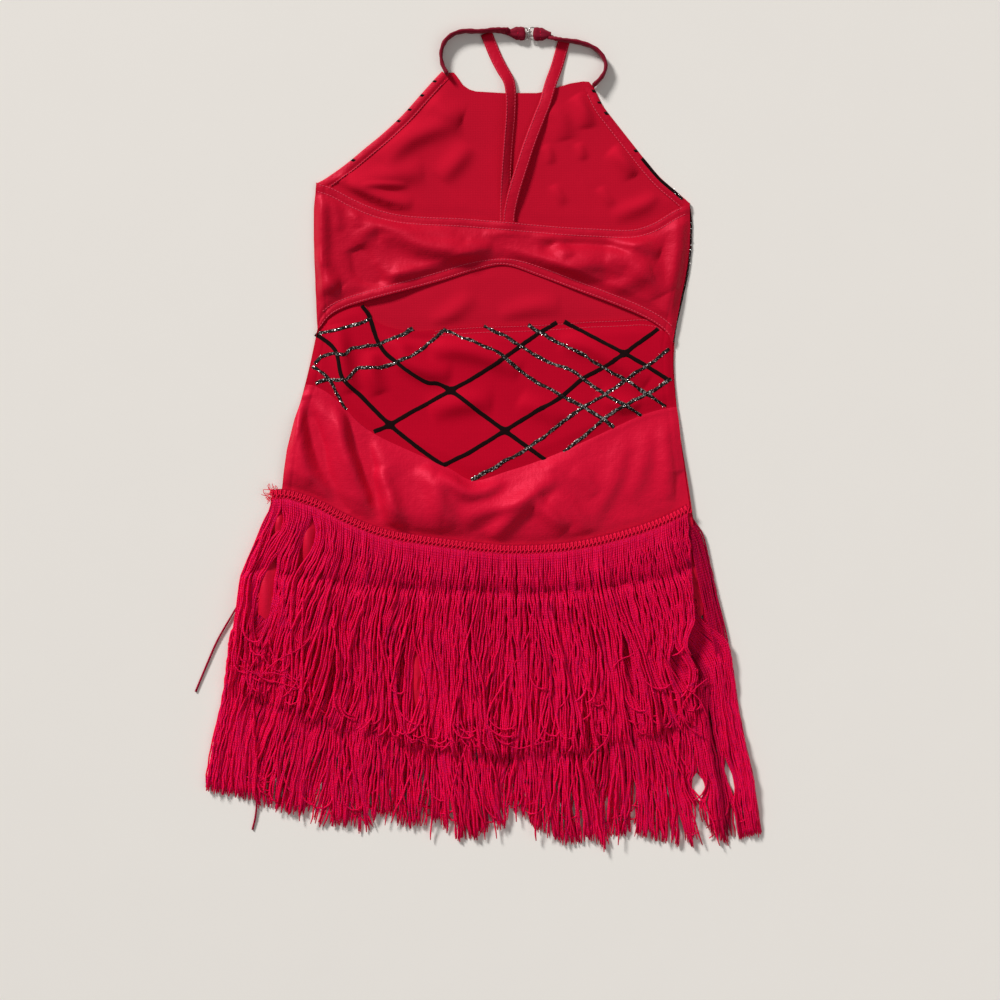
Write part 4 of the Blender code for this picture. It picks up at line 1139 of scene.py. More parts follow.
def flakes(name, lines, width, surface, seed, slot):
    """Cut foil on the glitter lines: small four-sided crystals, each at its own tilt."""
    sizes = bpy.context.scene.leotard_trim
    rng = np.random.default_rng(seed)
    centres = []
    for line in lines:
        path = even_path(line, 1.0 / sizes.flakes_per_mm)
        across = across_path(path)
        flat = path + across * rng.uniform(-0.46, 0.46, len(path))[:, None] * width
        flat += rng.normal(0, 0.3, flat.shape)
        centres.append(raised(flat, surface, 0.55))
    centres = np.concatenate(centres)
    count = len(centres)
    corners = np.array([(1, 0, 0), (0, 1, 0), (-1, 0, 0), (0, -1, 0), (0, 0, 0.5),
                        (0, 0, -0.5)], float)
    size = sizes.flake / MM / 2 * rng.uniform(0.55, 1.25, (count, 1, 1))
    spin = rng.uniform(0, 2 * math.pi, count)
    tilt = rng.uniform(-0.7, 0.7, count)
    points = turned(turned(corners[None] * size, 1, 2, tilt), 0, 1, spin) + centres[:, None]
    one = [(0, 1, 4), (1, 2, 4), (2, 3, 4), (3, 0, 4), (1, 0, 5), (2, 1, 5), (3, 2, 5),
           (0, 3, 5)]
    faces = [[corner + flake * 6 for corner in face] for flake in range(count) for face in one]
    piece = mesh_piece(name, points.reshape(-1, 3), faces, "silver_foil_flakes")
    bpy.ops.object.shade_flat()
    finish_piece(piece, slot)


def front_lines():
    """The same kind of lattice on the outside of the front, inside its outline."""
    velvet = []
    glitter = []
    for index, offset in enumerate(range(-260, 420, 34)):
        for slope in (0.62, -0.62):
            x = np.linspace(-150, 190, 69)
            y = offset + slope * (x - 20)
            left, right = front_edges(y)
            inside = (x > left + 4) & (x < right - 4) & (y > -30) & (y < 318)
            if inside.sum() > 8:
                line = np.column_stack([x, y])[inside]
                (velvet if index % 2 else glitter).append(line[::2])
    return velvet, glitter


def front_outside(x, y):
    return front_under(x, y) - 0.1


def make_lattice():
    sizes = bpy.context.scene.leotard_trim
    velvet = sizes.velvet_width / MM
    glitter = sizes.glitter_width / MM
    crossings = line_crossings(VELVET_LINES)
    ribbons("lattice_velvet_back", VELVET_LINES, velvet, 0.42, lower_back_top,
            "flocked_velvet_ribbon", 5, 0.25, "inset", crossings)
    ribbons("lattice_glitter_back", GLITTER_LINES, glitter, 0.5, lower_back_top,
            "black_glitter_trim", 6, 0.75, "inset")
    flakes("lattice_flakes_back", GLITTER_LINES, glitter, lower_back_top, 7, "inset")
    front_velvet, front_glitter = front_lines()
    ribbons("lattice_velvet_front", front_velvet, velvet, -0.3, front_outside,
            "flocked_velvet_ribbon", 8, 0.2, "knit", down=True)
    ribbons("lattice_glitter_front", front_glitter, glitter, -0.35, front_outside,
            "black_glitter_trim", 9, 0.5, "knit", down=True)


def make_edge_stripes():
    """Velvet of the outside that shows along the right edge, with a little glitter."""
    edge = inward(armhole_edge("right"), 0.5)
    edge = edge[(edge[:, 1] < 272) & (edge[:, 1] > 226)]
    ribbons("armhole_velvet_right", [edge[::3]], 3.2, 0.3,
            on_top(front_under, 1.45), "flocked_velvet_ribbon", 12, 0.25, "knit")
    flakes("armhole_flakes_right", [edge[:6:2]], 3.0, on_top(front_under, 1.4), 13, "knit")
    side = [(198.0, 221.5), (199.2, 205), (199.3, 190), (198.4, 175), (196.4, 160),
            (193.6, 146), (190.2, 132), (187.2, 118), (184.4, 104), (182.8, 92)]
    ribbons("side_velvet_right", [side], 2.0, 0.25, front_top, "flocked_velvet_ribbon", 14, 0.3,
            "knit")
    flakes("side_flakes_right", [side[1:]], 1.6, on_top(front_under, -0.2), 15, "knit")


def make_edge_ticks():
    """Velvet bands of the outside, where they turn over the armhole edges."""
    points = []
    faces = []
    profile = ((2.5, -1.2), (0.2, -1.05), (-0.9, -0.7), (-1.35, 0.1), (-1.0, 0.95), (0.2, 1.35),
               (2.0, 1.45), (3.4, 1.35))
    rows = len(profile)
    for tick in ARMHOLE_TICKS:
        side = "left" if tick.slant > 0 else "right"
        edge = armhole_edge(side)
        nearest = int(np.argmin(np.hypot(edge[:, 0] - tick.x, edge[:, 1] - tick.y)))
        nearest = min(max(nearest, 1), len(edge) - 2)
        along = edge[nearest + 1] - edge[nearest - 1]
        along /= np.linalg.norm(along)
        into = inward(edge, 1.0)[nearest] - edge[nearest]
        on_cloth = edge[nearest] + into
        level = float(front_top(on_cloth[0], on_cloth[1]))
        ring = [(*(edge[nearest] + into * (distance + inset)
                   + along * (shift * tick.width + distance * 0.5)), level + rise - sunk)
                for inset, sunk in ((0, 0), (0.25, 0.3))
                for distance, rise in profile for shift in (-0.5, 0.5)]
        start = len(points)
        points += ring
        low = start + rows * 2
        faces += grid_faces(rows, 2, start=start)
        faces += [face[::-1] for face in grid_faces(rows, 2, start=low)]
        for row in range(0, rows * 2 - 2, 2):
            faces.append([start + row, start + row + 2, low + row + 2, low + row])
            faces.append([low + row + 1, low + row + 3, start + row + 3, start + row + 1])
        last = rows * 2 - 2
        faces.append([start, low, low + 1, start + 1])
        faces.append([start + last, start + last + 1, low + last + 1, low + last])
    piece = mesh_piece("armhole_edge_ticks", points, faces, "flocked_velvet_ribbon")
    turn_faces_out()
    finish_piece(piece, "knit")


# Stitches

def stitches(name, runs, material, slot, thickness=0.0):
    """Every stitch is a short closed capsule; runs hold paths and the cloth under them."""
    sizes = bpy.context.scene.leotard_cloth
    radius = thickness or sizes.thread / MM / 2
    pitch = sizes.stitch / MM
    rng = np.random.default_rng(17)
    shares = np.array([0.0, 0.12, 0.5, 0.88, 1.0])
    swell = np.array([0.35, 0.85, 1.0, 0.85, 0.35])
    paths = []
    for run, surface in runs:
        path = even_path(run, pitch)
        starts = path[:-1]
        steps = path[1:] - starts
        reach = rng.uniform(0.74, 0.86, len(starts))
        flat = starts[:, None] + steps[:, None] * (shares[None, :] * reach[:, None])[..., None]
        paths.append(raised(flat, surface, radius * (0.1 + 0.75 * swell)[None, :]))
    paths = np.concatenate(paths)
    radii = np.repeat(radius * swell[None, :], len(paths), 0)
    finish_piece(tubes(name, paths, radii, 5, material), slot)


def below_line(line, distance, first=2, last=-2):
    """A line of the back moved into its cloth, downwards for a positive distance."""
    across = across_path(line)
    if np.mean(across[:, 1]) > 0:
        across = -across
    return (line + across * distance)[first:last:4]


def on_back(path, margin=1.6):
    """The part of a path that lies inside the back's outline."""
    return path[side_distance(path[:, 0], path[:, 1]) > margin]


def make_stitching():
    hem = hem_width()
    arch_hem = arch_hem_width(BAND_ARCH[:, :1])
    band = [(on_back(below_line(line, distance)), on_top(band_under)) for line, distance in (
        (BAND_TOP, 1.3), (BAND_TOP, hem), (BAND_ARCH, -1.3), (BAND_ARCH, -arch_hem))]
    stitches("band_stitches", band, "sewing_thread", "elastic")
    armholes = [(inward(armhole_edge(side), hem - 0.9)[1:-2:2], on_top(front_under, 0.75))
                for side in ("left", "right")]
    stitches("armhole_stitches", armholes, "sewing_thread", "elastic")
    seams = [(below_line(BACK_TOP, distance, 66, -3), lower_back_top)
             for distance in (1.2, 6.0)]
    stitches("inset_stitches", seams, "sewing_thread", "inset", 0.2)


# Straps, neck band and clasp

def strap_frame(route):
    path = even_path(route, 4.0)
    return path, -across_path(path)


def round_box(angle, wide, high):
    """A point on a box with round corners, rounder for larger powers."""
    return (math.copysign(abs(math.cos(angle)) ** wide, math.cos(angle)),
            math.copysign(abs(math.sin(angle)) ** high, math.sin(angle)))


def turned_ring(profile, turn, place, side_way):
    """A profile set across a path at a place, and turned about the path."""
    x, y, z = place
    ring = []
    for u, v in profile:
        reach = u * math.cos(turn) - v * math.sin(turn)
        rise = v * math.cos(turn) + u * math.sin(turn)
        ring.append((x + side_way[0] * reach, y + side_way[1] * reach, z + rise))
    return ring


def make_strap(side, route):
    """Covered elastic: a flat soft tube with a sewn edge on both sides."""
    path, across = strap_frame(route)
    profile = []
    for step in range(18):
        u, v = round_box(2 * math.pi * step / 18, 0.55, 0.8)
        crown = 1 + 0.5 * (1 - abs(u)) - 0.35 * math.exp(-((abs(u) - 0.76) / 0.08) ** 2)
        profile.append((u * STRAP_WIDTH / 2, v * STRAP_WALL / 2 * crown))
    rings = []
    for (x, y, z, tilt), side_way in zip(path, across):
        turn = math.radians(tilt)
        low = STRAP_WIDTH / 2 * abs(math.sin(turn)) * 0.35
        rings.append(turned_ring(profile, turn, (x, y, z + STRAP_WALL / 2 + low), side_way))
    return closed_tube("shoulder_strap_cloth_" + side, rings, "satin_warp_knit")


def closed_tube(name, rings, material):
    """A tube through rings of points, closed by a pole at both ends."""
    rings = np.array(rings)
    points = np.concatenate([rings.reshape(-1, 3), [rings[0].mean(0), rings[-1].mean(0)]])
    piece = mesh_piece(name, points, tube_faces(1, *rings.shape[:2]), material)
    turn_faces_out()
    return piece


def strap_stitch_runs(route):
    """Two rows of stitches near the edges of a strap, as points and a height for each."""
    path, across = strap_frame(route)
    runs = []
    for share in (-0.39, 0.39):
        reach = share * STRAP_WIDTH
        turn = np.radians(path[:, 3])
        flat = path[:, :2] + across * (reach * np.cos(turn))[:, None]
        low = STRAP_WIDTH / 2 * np.abs(np.sin(turn)) * 0.35
        z = path[:, 2] + STRAP_WALL / 2 + low + reach * np.sin(turn) + STRAP_WALL * 0.42
        order = np.argsort(flat[:, 1])
        heights = (flat[order, 1], z[order])
        runs.append((flat[1:-1], lambda x, y, pair=heights: np.interp(y, *pair)))
    return runs


def make_straps():
    runs = []
    for side, route in (("left", LEFT_STRAP), ("right", RIGHT_STRAP)):
        piece = make_strap(side, route)
        finish_piece(piece, "elastic", "shoulder_strap_" + side)
        runs += strap_stitch_runs(route)
    stitches("strap_stitches", runs, "sewing_thread", "elastic", 0.26)


def make_neck_bands():
    """A band folded over elastic: rolled, standing on edge, flat where it is sewn on."""
    for side, route in (("left", LEFT_NECK_BAND), ("right", RIGHT_NECK_BAND)):
        path = even_path(route, 3.0)
        across = across_path(path)
        rings = []
        for index, ((x, y, roll), side_way) in enumerate(zip(path, across)):
            turn = math.radians(min(max(roll, 0.0), 90.0))
            wave = 0.25 * math.sin(index * 1.9) + 0.15 * math.sin(index * 0.7)
            to_tab = smooth_step(1 - (len(path) - 1 - index) / 5)
            half_width = NECK_BAND_WIDTH / 2 * (1 - 0.5 * float(to_tab))
            half_roll = NECK_BAND_ROLL / 2 + wave
            on_front = 1.4 * float(1 - smooth_step(index / 4))
            middle = 0.2 + on_front + half_width * math.sin(turn) + half_roll * math.cos(turn)
            corners = [round_box(2 * math.pi * step / 14, 0.7, 0.75) for step in range(14)]
            profile = [(half_width * u, half_roll * v) for u, v in corners]
            rings.append(turned_ring(profile, turn, (x, y, middle), side_way))
        piece = closed_tube("neck_band_cloth_" + side, rings, "neck_band_knit")
        finish_piece(piece, "neck", "neck_band_" + side)


def make_tabs():
    """Band ends gathered round the hook's bar and the ring."""
    for side, start_x, end_x, level, start_y in (
            ("left", 24.5, 42.6, 4.4, 385.0), ("right", 66.5, 49.2, 4.6, 383.0)):
        rings = []
        for step in range(15):
            share = step / 14
            x = start_x + (end_x - start_x) * share
            half_width = 2.6 + 3.6 * smooth_step(share * 1.5)
            half_height = 2.3 + 0.5 * math.sin(math.pi * share)
            close = math.sqrt(max(1 - max((share - 0.9) / 0.1, 0) ** 2, 0.06))
            y = start_y + (CLASP_Y - 0.6 - start_y) * share
            ring = []
            for item in range(24):
                angle = 2 * math.pi * item / 24
                pleat = 1 + 0.13 * math.sin(6 * angle + 3 * share) * math.sin(math.pi * share)
                tuck = 1 - 0.12 * math.exp(-((share - 0.62) / 0.07) ** 2)
                ring.append((x, y + half_width * math.cos(angle) * pleat * tuck * close,
                             level + half_height * math.sin(angle) * pleat * tuck * close))
            rings.append(ring)
        piece = closed_tube("neck_tab_cloth_" + side, rings, "neck_band_knit")
        finish_piece(piece, "neck", "neck_tab_" + side)
        seam = [(start_x + (end_x - start_x) * share, start_y + y)
                for share, y in ((0.6, -5.0), (0.58, -1.0), (0.6, 3.6))]
        stitches("neck_tab_stitches_" + side, [(
            seam, lambda x, y, top=level: top + 2.3 - 0.055 * (y - CLASP_Y) ** 2)],
            "overlock_thread", "neck", 0.3)


def bent_wire(name, points, radius):
    """A round wire bent into a closed loop: a ring of points, made a curve with a bevel."""
    path = even_path(np.vstack([points, points[:1]]), 0.35)[:-1]
    bpy.ops.object.select_all(action='DESELECT')
    bpy.ops.mesh.primitive_circle_add(vertices=len(path), radius=0.01, fill_type='NOTHING')
    wire = bpy.context.object
    wire.name = name
    for vert, place in zip(wire.data.vertices, path):
        vert.co = Vector(place) * MM
    bpy.ops.object.convert(target='CURVE')
    wire.data.bevel_depth = radius * MM
    wire.data.bevel_resolution = 3
    bpy.ops.object.convert(target='MESH')
    wire.data.materials.clear()
    wire.data.materials.append(look("nickel_plated_wire"))
    bpy.ops.object.shade_smooth()
    return wire


def make_clasp():
    make_tabs()
    half = [(point.x, CLASP_Y + point.y, point.z) for point in HALF_HOOK]
    other = [(point.x, CLASP_Y - point.y, point.z) for point in reversed(HALF_HOOK)]
    hook = bent_wire("neck_hook_wire", np.array(half + other), 0.62)
    finish_piece(hook, "steel", "neck_hook")
    ring = np.array([(x, CLASP_Y + y, RING_Z) for x, y in RING])
    loop = bent_wire("neck_ring_wire", ring, 0.6)
    finish_piece(loop, "steel", "neck_ring")


# The fringe

def skirt_x(share, y):
    """Where a strand at this share of the skirt's width is, at height y."""
    edges = np.array(SKIRT_EDGES, dtype=float)
    left = np.interp(y, edges[:, 0], edges[:, 1])
    right = np.interp(y, edges[:, 0], edges[:, 2])
    return left + (right - left) * share


def brief_drop(x, y):
    """How far the back fringe has sunk past the leg opening."""
    return BRIEF_DROP * ramp(line_at(LEG_LINE, x) - y, DROP_START, DROP_END)


def bed_height(row_name, x, y):
    """Top of what a row of strands lies on."""
    if row_name in FRONT_BEDS:
        return np.full(np.shape(x), FRONT_BEDS[row_name])
    cloth = hip_rise(y) + BACK_LIFT + 1.1
    if row_name == "back_lower":
        return cloth + 0.2 - brief_drop(x, y)
    over = line_at(STEP_LINE, x) - y
    step = 4.2 * smooth_step((over + 3) / 8)
    from_root = line_at(UPPER_HEADER, x) - HEADER_WIDTH / 2 - y
    to_header = np.maximum(-over, 0)
    bulge = 3.8 * smooth_step((from_root - 3) / 24) * smooth_step((to_header - 2) / 9)
    settle = 0.8 * smooth_step((over - 40) / 60)
    return cloth + 0.2 + step + bulge - settle - brief_drop(x, y)


def slow_waves(share, y, seed, sizes):
    """A sum of slow waves over the skirt: waves across it, length down it, size."""
    rng = np.random.default_rng(seed)
    total = np.zeros(np.broadcast(share, y).shape)
    for waves, length, size in sizes:
        phase = rng.uniform(0, 2 * math.pi)
        total += size * np.sin(2 * math.pi * (waves * share + y / length) + phase)
    return total


def inside_skirt(share, steepness):
    """0 at the skirt's two sides, 1 further in."""
    return np.clip(np.minimum(share, 1 - share) * steepness, 0, 1)


def flow(share, y, depth, seed):
    """Slow sideways drift that neighbouring strands share."""
    return slow_waves(share, y, seed, DRIFTS) * depth ** 1.1 * inside_skirt(share, 14)


def away_from(place, x, y):
    """How far to the right of a place each strand passes it."""
    level = np.argmin(np.abs(y - place[1]), axis=1)
    return (x[np.arange(len(x)), level] - place[0])[:, None]


def strand_paths(row, levels):
    """Centre lines of all the strands of a row, strands by levels by three."""
    rng = np.random.default_rng(row.seed)
    count = row.count

    def each(low, high):
        """One random number for every strand, as a column."""
        return rng.uniform(low, high, (count, 1))

    u = (np.arange(count) + 0.5 + rng.uniform(-0.32, 0.32, count)) / count
    if row.layers == 1:
        u = 0.5 - 0.5 * np.cos(math.pi * u) * (0.35 + 0.65 * np.abs(2 * u - 1) ** 0.4)
    share = row.first + (row.last - row.first) * u
    header = np.array(row.header, dtype=float)
    root_x = header[0, 0] + 1.5 + (header[-1, 0] - header[0, 0] - 3) * u
    root_y = np.interp(root_x, header[:, 0], header[:, 1]) - HEADER_WIDTH / 2 + 1.2
    hem = np.array(row.hem, dtype=float)
    tip_y = np.interp(share, hem[:, 0], hem[:, 1]) + rng.exponential(5.0, count)
    short = rng.random(count) < SHORT_STRANDS
    tip_y += np.where(short, rng.uniform(10, 55, count), 0)

    s = np.linspace(0, 1, levels)[None, :]
    y = root_y[:, None] + (tip_y - root_y)[:, None] * s
    edge = inside_skirt(share, 7)[:, None]
    settle = smooth_step((root_y[:, None] - y) / (34 + 66 * edge))
    x = root_x[:, None] + (skirt_x(share[:, None], y) - root_x[:, None]) * settle
    x += flow(share[:, None], y, s, row.seed + 1)
    if row.name == "back_upper":
        past = x - UPPER_ROW_RIGHT
        x = np.where(past > 0, UPPER_ROW_RIGHT + 0.4 * past, x)

    # Every strand wanders on its own, and keeps small waves from its chain of loops.
    knots = rng.normal(0, 1, (count, 7)) * np.array([0, 0.5, 0.9, 1.2, 1.5, 1.9, 2.3])
    at = s[0] * 6
    own = [np.interp(at, np.arange(7), line) for line in knots]
    kernel = np.ones(5) / 5
    own = np.stack([np.convolve(np.pad(line, 2, "edge"), kernel, "valid") for line in own])
    x += own * 1.3 * (0.35 + 0.65 * edge)
    waves = each(5, 13)
    x += 0.9 * each(0.2, 1) * smooth_step(s * 8) * np.sin(
        2 * math.pi * waves * s + each(0, 6.28))

    # Strands gather in clumps towards their tips.
    centres = np.sort(rng.uniform(0, 1, row.clumps))
    mine = np.abs(u[:, None] - centres[None]).argmin(1)
    centre_share = row.first + (row.last - row.first) * centres[mine]
    centre_root = header[0, 0] + (header[-1, 0] - header[0, 0]) * centres[mine]
    middle = centre_root[:, None]
    middle = middle + (skirt_x(centre_share[:, None], y) - middle) * settle
    middle += flow(centre_share[:, None], y, s, row.seed + 1)
    strength = rng.uniform(0.15, 0.65, row.clumps)[mine][:, None]
    strength *= 0.65 if row.hem is LOWER_HEM else 1.0
    begin = rng.uniform(0.15, 0.6, row.clumps)[mine][:, None]
    pull = strength * smooth_step((s - begin) / (1.02 - begin))
    x += (middle - x) * pull

    wayward = rng.random(count) < WAYWARD_STRANDS
    drift = np.where(wayward, rng.normal(0, 15, count), 0)[:, None]
    x += drift * smooth_step((s - 0.25) / 0.75) * inside_skirt(share, 10)[:, None]

    # They part round the gaps.
    for gap in PARTINGS:
        if gap.puff >= 0 and row.layers == 1 or gap.puff == 0 and row.name != "back_upper":
            continue
        height = np.clip(1 - ((y - gap.y) / gap.half_length) ** 2, 0, 1)
        away = away_from((gap.x, gap.y), x, y)
        way = np.where(away >= 0, 1.0, -1.0)
        x += way * gap.half_width * height * np.exp(-np.abs(away) / (2.2 * gap.half_width))

    # Heights over what the row lies on; tips hang down past the rows below.
    layer = np.arange(count) % row.layers
    bed = bed_height(row.name, x, y)
    lift = each(0, 0.5) + layer[:, None] * LAYER_STEP
    swell = slow_waves(share[:, None], y, row.seed + 2, SWELLS) * smooth_step(s * 5)
    ripple = 0.55 * np.sin(s * each(8, 20) + each(0, 6))
    pile = np.abs(pull) * each(0, 1.7)
    over = np.where(wayward, 1.8, 0)[:, None] * smooth_step((s - 0.1) / 0.3)
    droop = smooth_step((s - 0.86) / 0.14) * np.clip(bed - 1.5, 0, 2.5)
    if row.name == "back_upper":
        droop *= 0.1
        droop -= 3.2 * hump(x, -4, 78) * smooth_step((s - 0.74) / 0.2)
    z = bed + strand_radius() + lift + ripple + pile + over + swell - droop
    for gap in PARTINGS:
        near = near_parting(gap, x, y, 2.2, 0.9)
        if gap.puff > 0:
            z -= 0.8 * near * (z - hip_rise(y) - BACK_LIFT - 2.2)
        elif row.name != "back_upper":
            z -= 0.8 * near * (z - 1.5)
    root_z = header_level(row) + 1.1
    z = root_z + (z - root_z) * smooth_step(s / 0.07)
    # High strands are pressed down, to end below HIGH_STRANDS + 3.
    z = np.where(z > HIGH_STRANDS, HIGH_STRANDS + 3 * (1 - np.exp(-(z - HIGH_STRANDS) / 3)), z)
    paths = np.stack([x, y, np.maximum(z, strand_radius() + 0.1)], -1)

    curled = np.flatnonzero(rng.random(count) < row.curls)
    for strand in curled:
        way = rng.choice([-1, 1])
        if share[strand] < 0.1 or share[strand] > 0.9:
            way = 1 if share[strand] < 0.5 else -1
        length = rng.uniform(16, 42)
        paths[strand] = curl_tip(paths[strand], length, way * rng.uniform(0.9, 2.9))
    dye = rng.random(count)
    if row.name != "back_upper":
        # Painted shade: the strands under the hole at the right are dyed darker, as if in its
        # shade.
        dye -= 3.0 * hump(away_from(SHADED_HOLE, x, y)[:, 0], 0, SHADED_HOLE_WIDTH)
    return paths, dye


def curl_tip(path, length, turn):
    """Bend the last part of a strand round, in the floor plane."""
    steps = np.linalg.norm(np.diff(path[:, :2], axis=0), axis=1)
    left = np.cumsum(steps[::-1])[::-1]
    first = int(np.argmax(left <= length))
    bent = path.copy()
    run = path[first] - path[first - 1]
    heading = math.atan2(run[1], run[0])
    count = len(steps) - first
    for index in range(first, len(steps)):
        heading += turn / max(count, 1) * (0.5 + (index - first) / max(count, 1))
        bent[index + 1, 0] = bent[index, 0] + steps[index] * math.cos(heading)
        bent[index + 1, 1] = bent[index, 1] + steps[index] * math.sin(heading)
        bent[index + 1, 2] = path[index + 1, 2] + 0.8
    return bent


def strand_radius():
    return bpy.context.scene.leotard_fringe.strand / MM / 2


def strands(name, paths, radii, dye, sides=5):
    finish_piece(tubes(name, paths, radii, sides, "rayon_chainette", dye), "fringe")


def strand_names(row):
    """The row's pieces of strands, which ride with its header."""
    return ["fringe_strands_%s_%d" % (row.name, part + 1) for part in range(row.pieces)]


def make_strands():
    for row in FRINGE_ROWS:
        levels = 22 if row.layers == 1 else 32
        paths, dye = strand_paths(row, levels)
        taper = np.array([0.8] + [1.0] * (levels - 2) + [0.55])
        rng = np.random.default_rng(row.seed + 5)
        radii = strand_radius() * rng.uniform(0.82, 1.12, row.count)[:, None] * taper[None, :]
        for part, name in enumerate(strand_names(row)):
            mine = slice(part, None, row.pieces)
            strands(name, paths[mine], radii[mine], dye[mine])


def make_edge_strands():
    """Strands of the front fringe that show outside the back along both outlines."""
    levels = 32
    rng = np.random.default_rng(91)
    paths = []
    for side, count, spread, tip in ((1, 15, 17.0, -300), (-1, 13, 15.0, -330)):
        for index in range(count):
            offset = spread * (index + rng.uniform(-0.3, 0.3)) / count + 0.6
            top = -55 - 12 * (side < 0) - 0.35 * offset
            y = np.linspace(top, tip + rng.uniform(-25, 40), levels)
            share = np.zeros(levels) if side > 0 else np.ones(levels)
            root = skirt_x(share[0], y[0]) + side * offset
            edge = skirt_x(share, y) + side * offset
            settle = smooth_step((y[0] - y) / 25)
            x = root + (edge - root) * settle
            x += side * rng.uniform(0, 5) * smooth_step((-180 - y) / 120)
            x += rng.uniform(0.3, 1.4) * np.sin(y / rng.uniform(7, 20) + rng.uniform(0, 6))
            sunk = smooth_step((-150 - y) / 90)
            inner = 1 - (1 - np.clip(offset / spread, 0, 1)) ** 2
            rise = 1.4 + 5.2 * inner if side < 0 else 0.8 + 1.2 * inner
            z = 1.2 + rise * smooth_step((y[0] - y) / 14) * (1 - 0.75 * sunk)
            paths.append(np.column_stack([x, y, z + rng.uniform(0, 0.9)]))
    paths = np.array(paths)
    radii = np.full(paths.shape[:2], strand_radius())
    # Painted shade: the right-hand strands are dyed much darker, for the shade of the back over
    # them.
    dye = np.concatenate([rng.uniform(0.2, 0.9, 15), rng.uniform(-2.2, -1.0, 13)])
    strands("fringe_edge_strands", paths, radii, dye)


def make_loose_strands():
    """Curled and stray strands, placed one by one."""
    levels = 30
    paths = []
    for line in LOOSE_STRANDS:
        flat = smooth_rows(line, levels)
        skirt_top = bed_height("back_upper", flat[:, 0], flat[:, 1]) + 4.2
        paths.append(np.column_stack([flat, skirt_top + 0.5]))
    for line, start_z in ((LEFT_STRAY, 2.4), (LOWER_STRAY, 3.5)):
        heights = np.linspace(start_z, strand_radius() + 0.1, levels)
        paths.append(np.column_stack([smooth_rows(line, levels), heights]))
    paths = np.array(paths)
    radii = np.full(paths.shape[:2], 0.62 * strand_radius())
    radii[-2:] = 1.05 * strand_radius()
    dye = np.concatenate([np.linspace(0.1, 0.7, len(LOOSE_STRANDS)), [-2.6, -2.2]])
    strands("fringe_loose_strands", paths, radii, dye, sides=6)


def header_level(row):
    return HEADER_Z if row.name.startswith("back") else FRONT_HEADER_Z


def make_headers():
    """Each row hangs from a woven tape that is overlocked on to the brief."""
    for row in FRINGE_ROWS:
        path = even_path(row.header, 3.0)
        across = across_path(path)
        rows = []
        for share in np.linspace(-0.5, 0.5, 7):
            flat = path + across * share * HEADER_WIDTH
            wave = 0.2 * np.sin(path[:, 0] * 0.9) * (1 - abs(2 * share))
            rows.append(np.column_stack([flat, header_level(row) + wave]))
        tape = cloth_shell("fringe_header_" + row.name, np.array(rows), ("header_tape",),
                           HEADER_WALL)
        finish_piece(tape, "fringe", row.node)
        make_overlock(row)


def make_overlock(row):
    """The looped chain over the tape: needle loops that lean, and a looper thread."""
    path = even_path(row.header, 0.45)
    across = across_path(path)
    along = np.gradient(path, axis=0)
    along /= np.linalg.norm(along, axis=1)[:, None]
    pitch = 3.8
    phase = 2 * math.pi * path_lengths(path) / pitch
    paths = []
    for reach, lean, shift, lift in ((4.4, 1.25, 0.0, 0.45), (2.4, 0.8, 2.1, 0.8)):
        side = reach * np.sin(phase + shift) + (1.2 if lift > 0.5 else 0)
        slide = lean * np.cos(phase + shift)
        rise = HEADER_WALL + lift + 0.25 * np.cos(2 * phase)
        flat = path + across * side[:, None] + along * slide[:, None]
        paths.append(np.column_stack([flat, header_level(row) + rise]))
    paths = np.array(paths)
    radii = np.full(paths.shape[:2], 0.5)
    chain = tubes("fringe_overlock_" + row.name, paths, radii, 5, "overlock_thread")
    finish_piece(chain, "fringe")


def make_frayed_end():
    """Cut ends of yarn where the upper header starts on the left."""
    rng = np.random.default_rng(71)
    count = 46
    start_x = rng.uniform(-201, -192, count)
    start_y = rng.uniform(-59, -47, count)
    turn = rng.uniform(math.pi * 0.45, math.pi * 1.25, count)
    reach = rng.uniform(3.0, 9.0, count)
    bend = rng.uniform(-0.9, 0.9, count)
    paths = np.zeros((count, 7, 3))
    for index, share in enumerate(np.linspace(0, 1, 7)):
        heading = turn + bend * share
        paths[:, index, 0] = start_x + reach * share * np.cos(heading)
        paths[:, index, 1] = start_y + reach * share * np.sin(heading)
        paths[:, index, 2] = HEADER_Z + 0.6 + 1.2 * rng.random(count) * (1 - share * 0.5)
    ends = tubes("fringe_frayed_end", paths, np.full((count, 7), 0.28), 4, "overlock_thread")
    finish_piece(ends, "fringe")


# The stage, in metres: the picture is VIEW_WIDTH across, seen from CAMERA_HEIGHT

PICTURE_MIDDLE = Vector((18.05, -57.95, 0)) * MM
CAMERA_HEIGHT = 1.8
VIEW_WIDTH = 0.95
SENSOR_WIDTH = 36
KEY_DISTANCE = 20.0


def add_light(name, place, aim, size, power, colour):
    bpy.ops.object.select_all(action='DESELECT')
    bpy.ops.object.light_add(type='AREA', location=place)
    light = bpy.context.object
    light.name = name
    light.data.shape = 'DISK'
    light.data.size = size
    light.data.energy = power
    light.data.color = colour
    light.rotation_euler = (aim - place).to_track_quat('-Z', 'Y').to_euler()


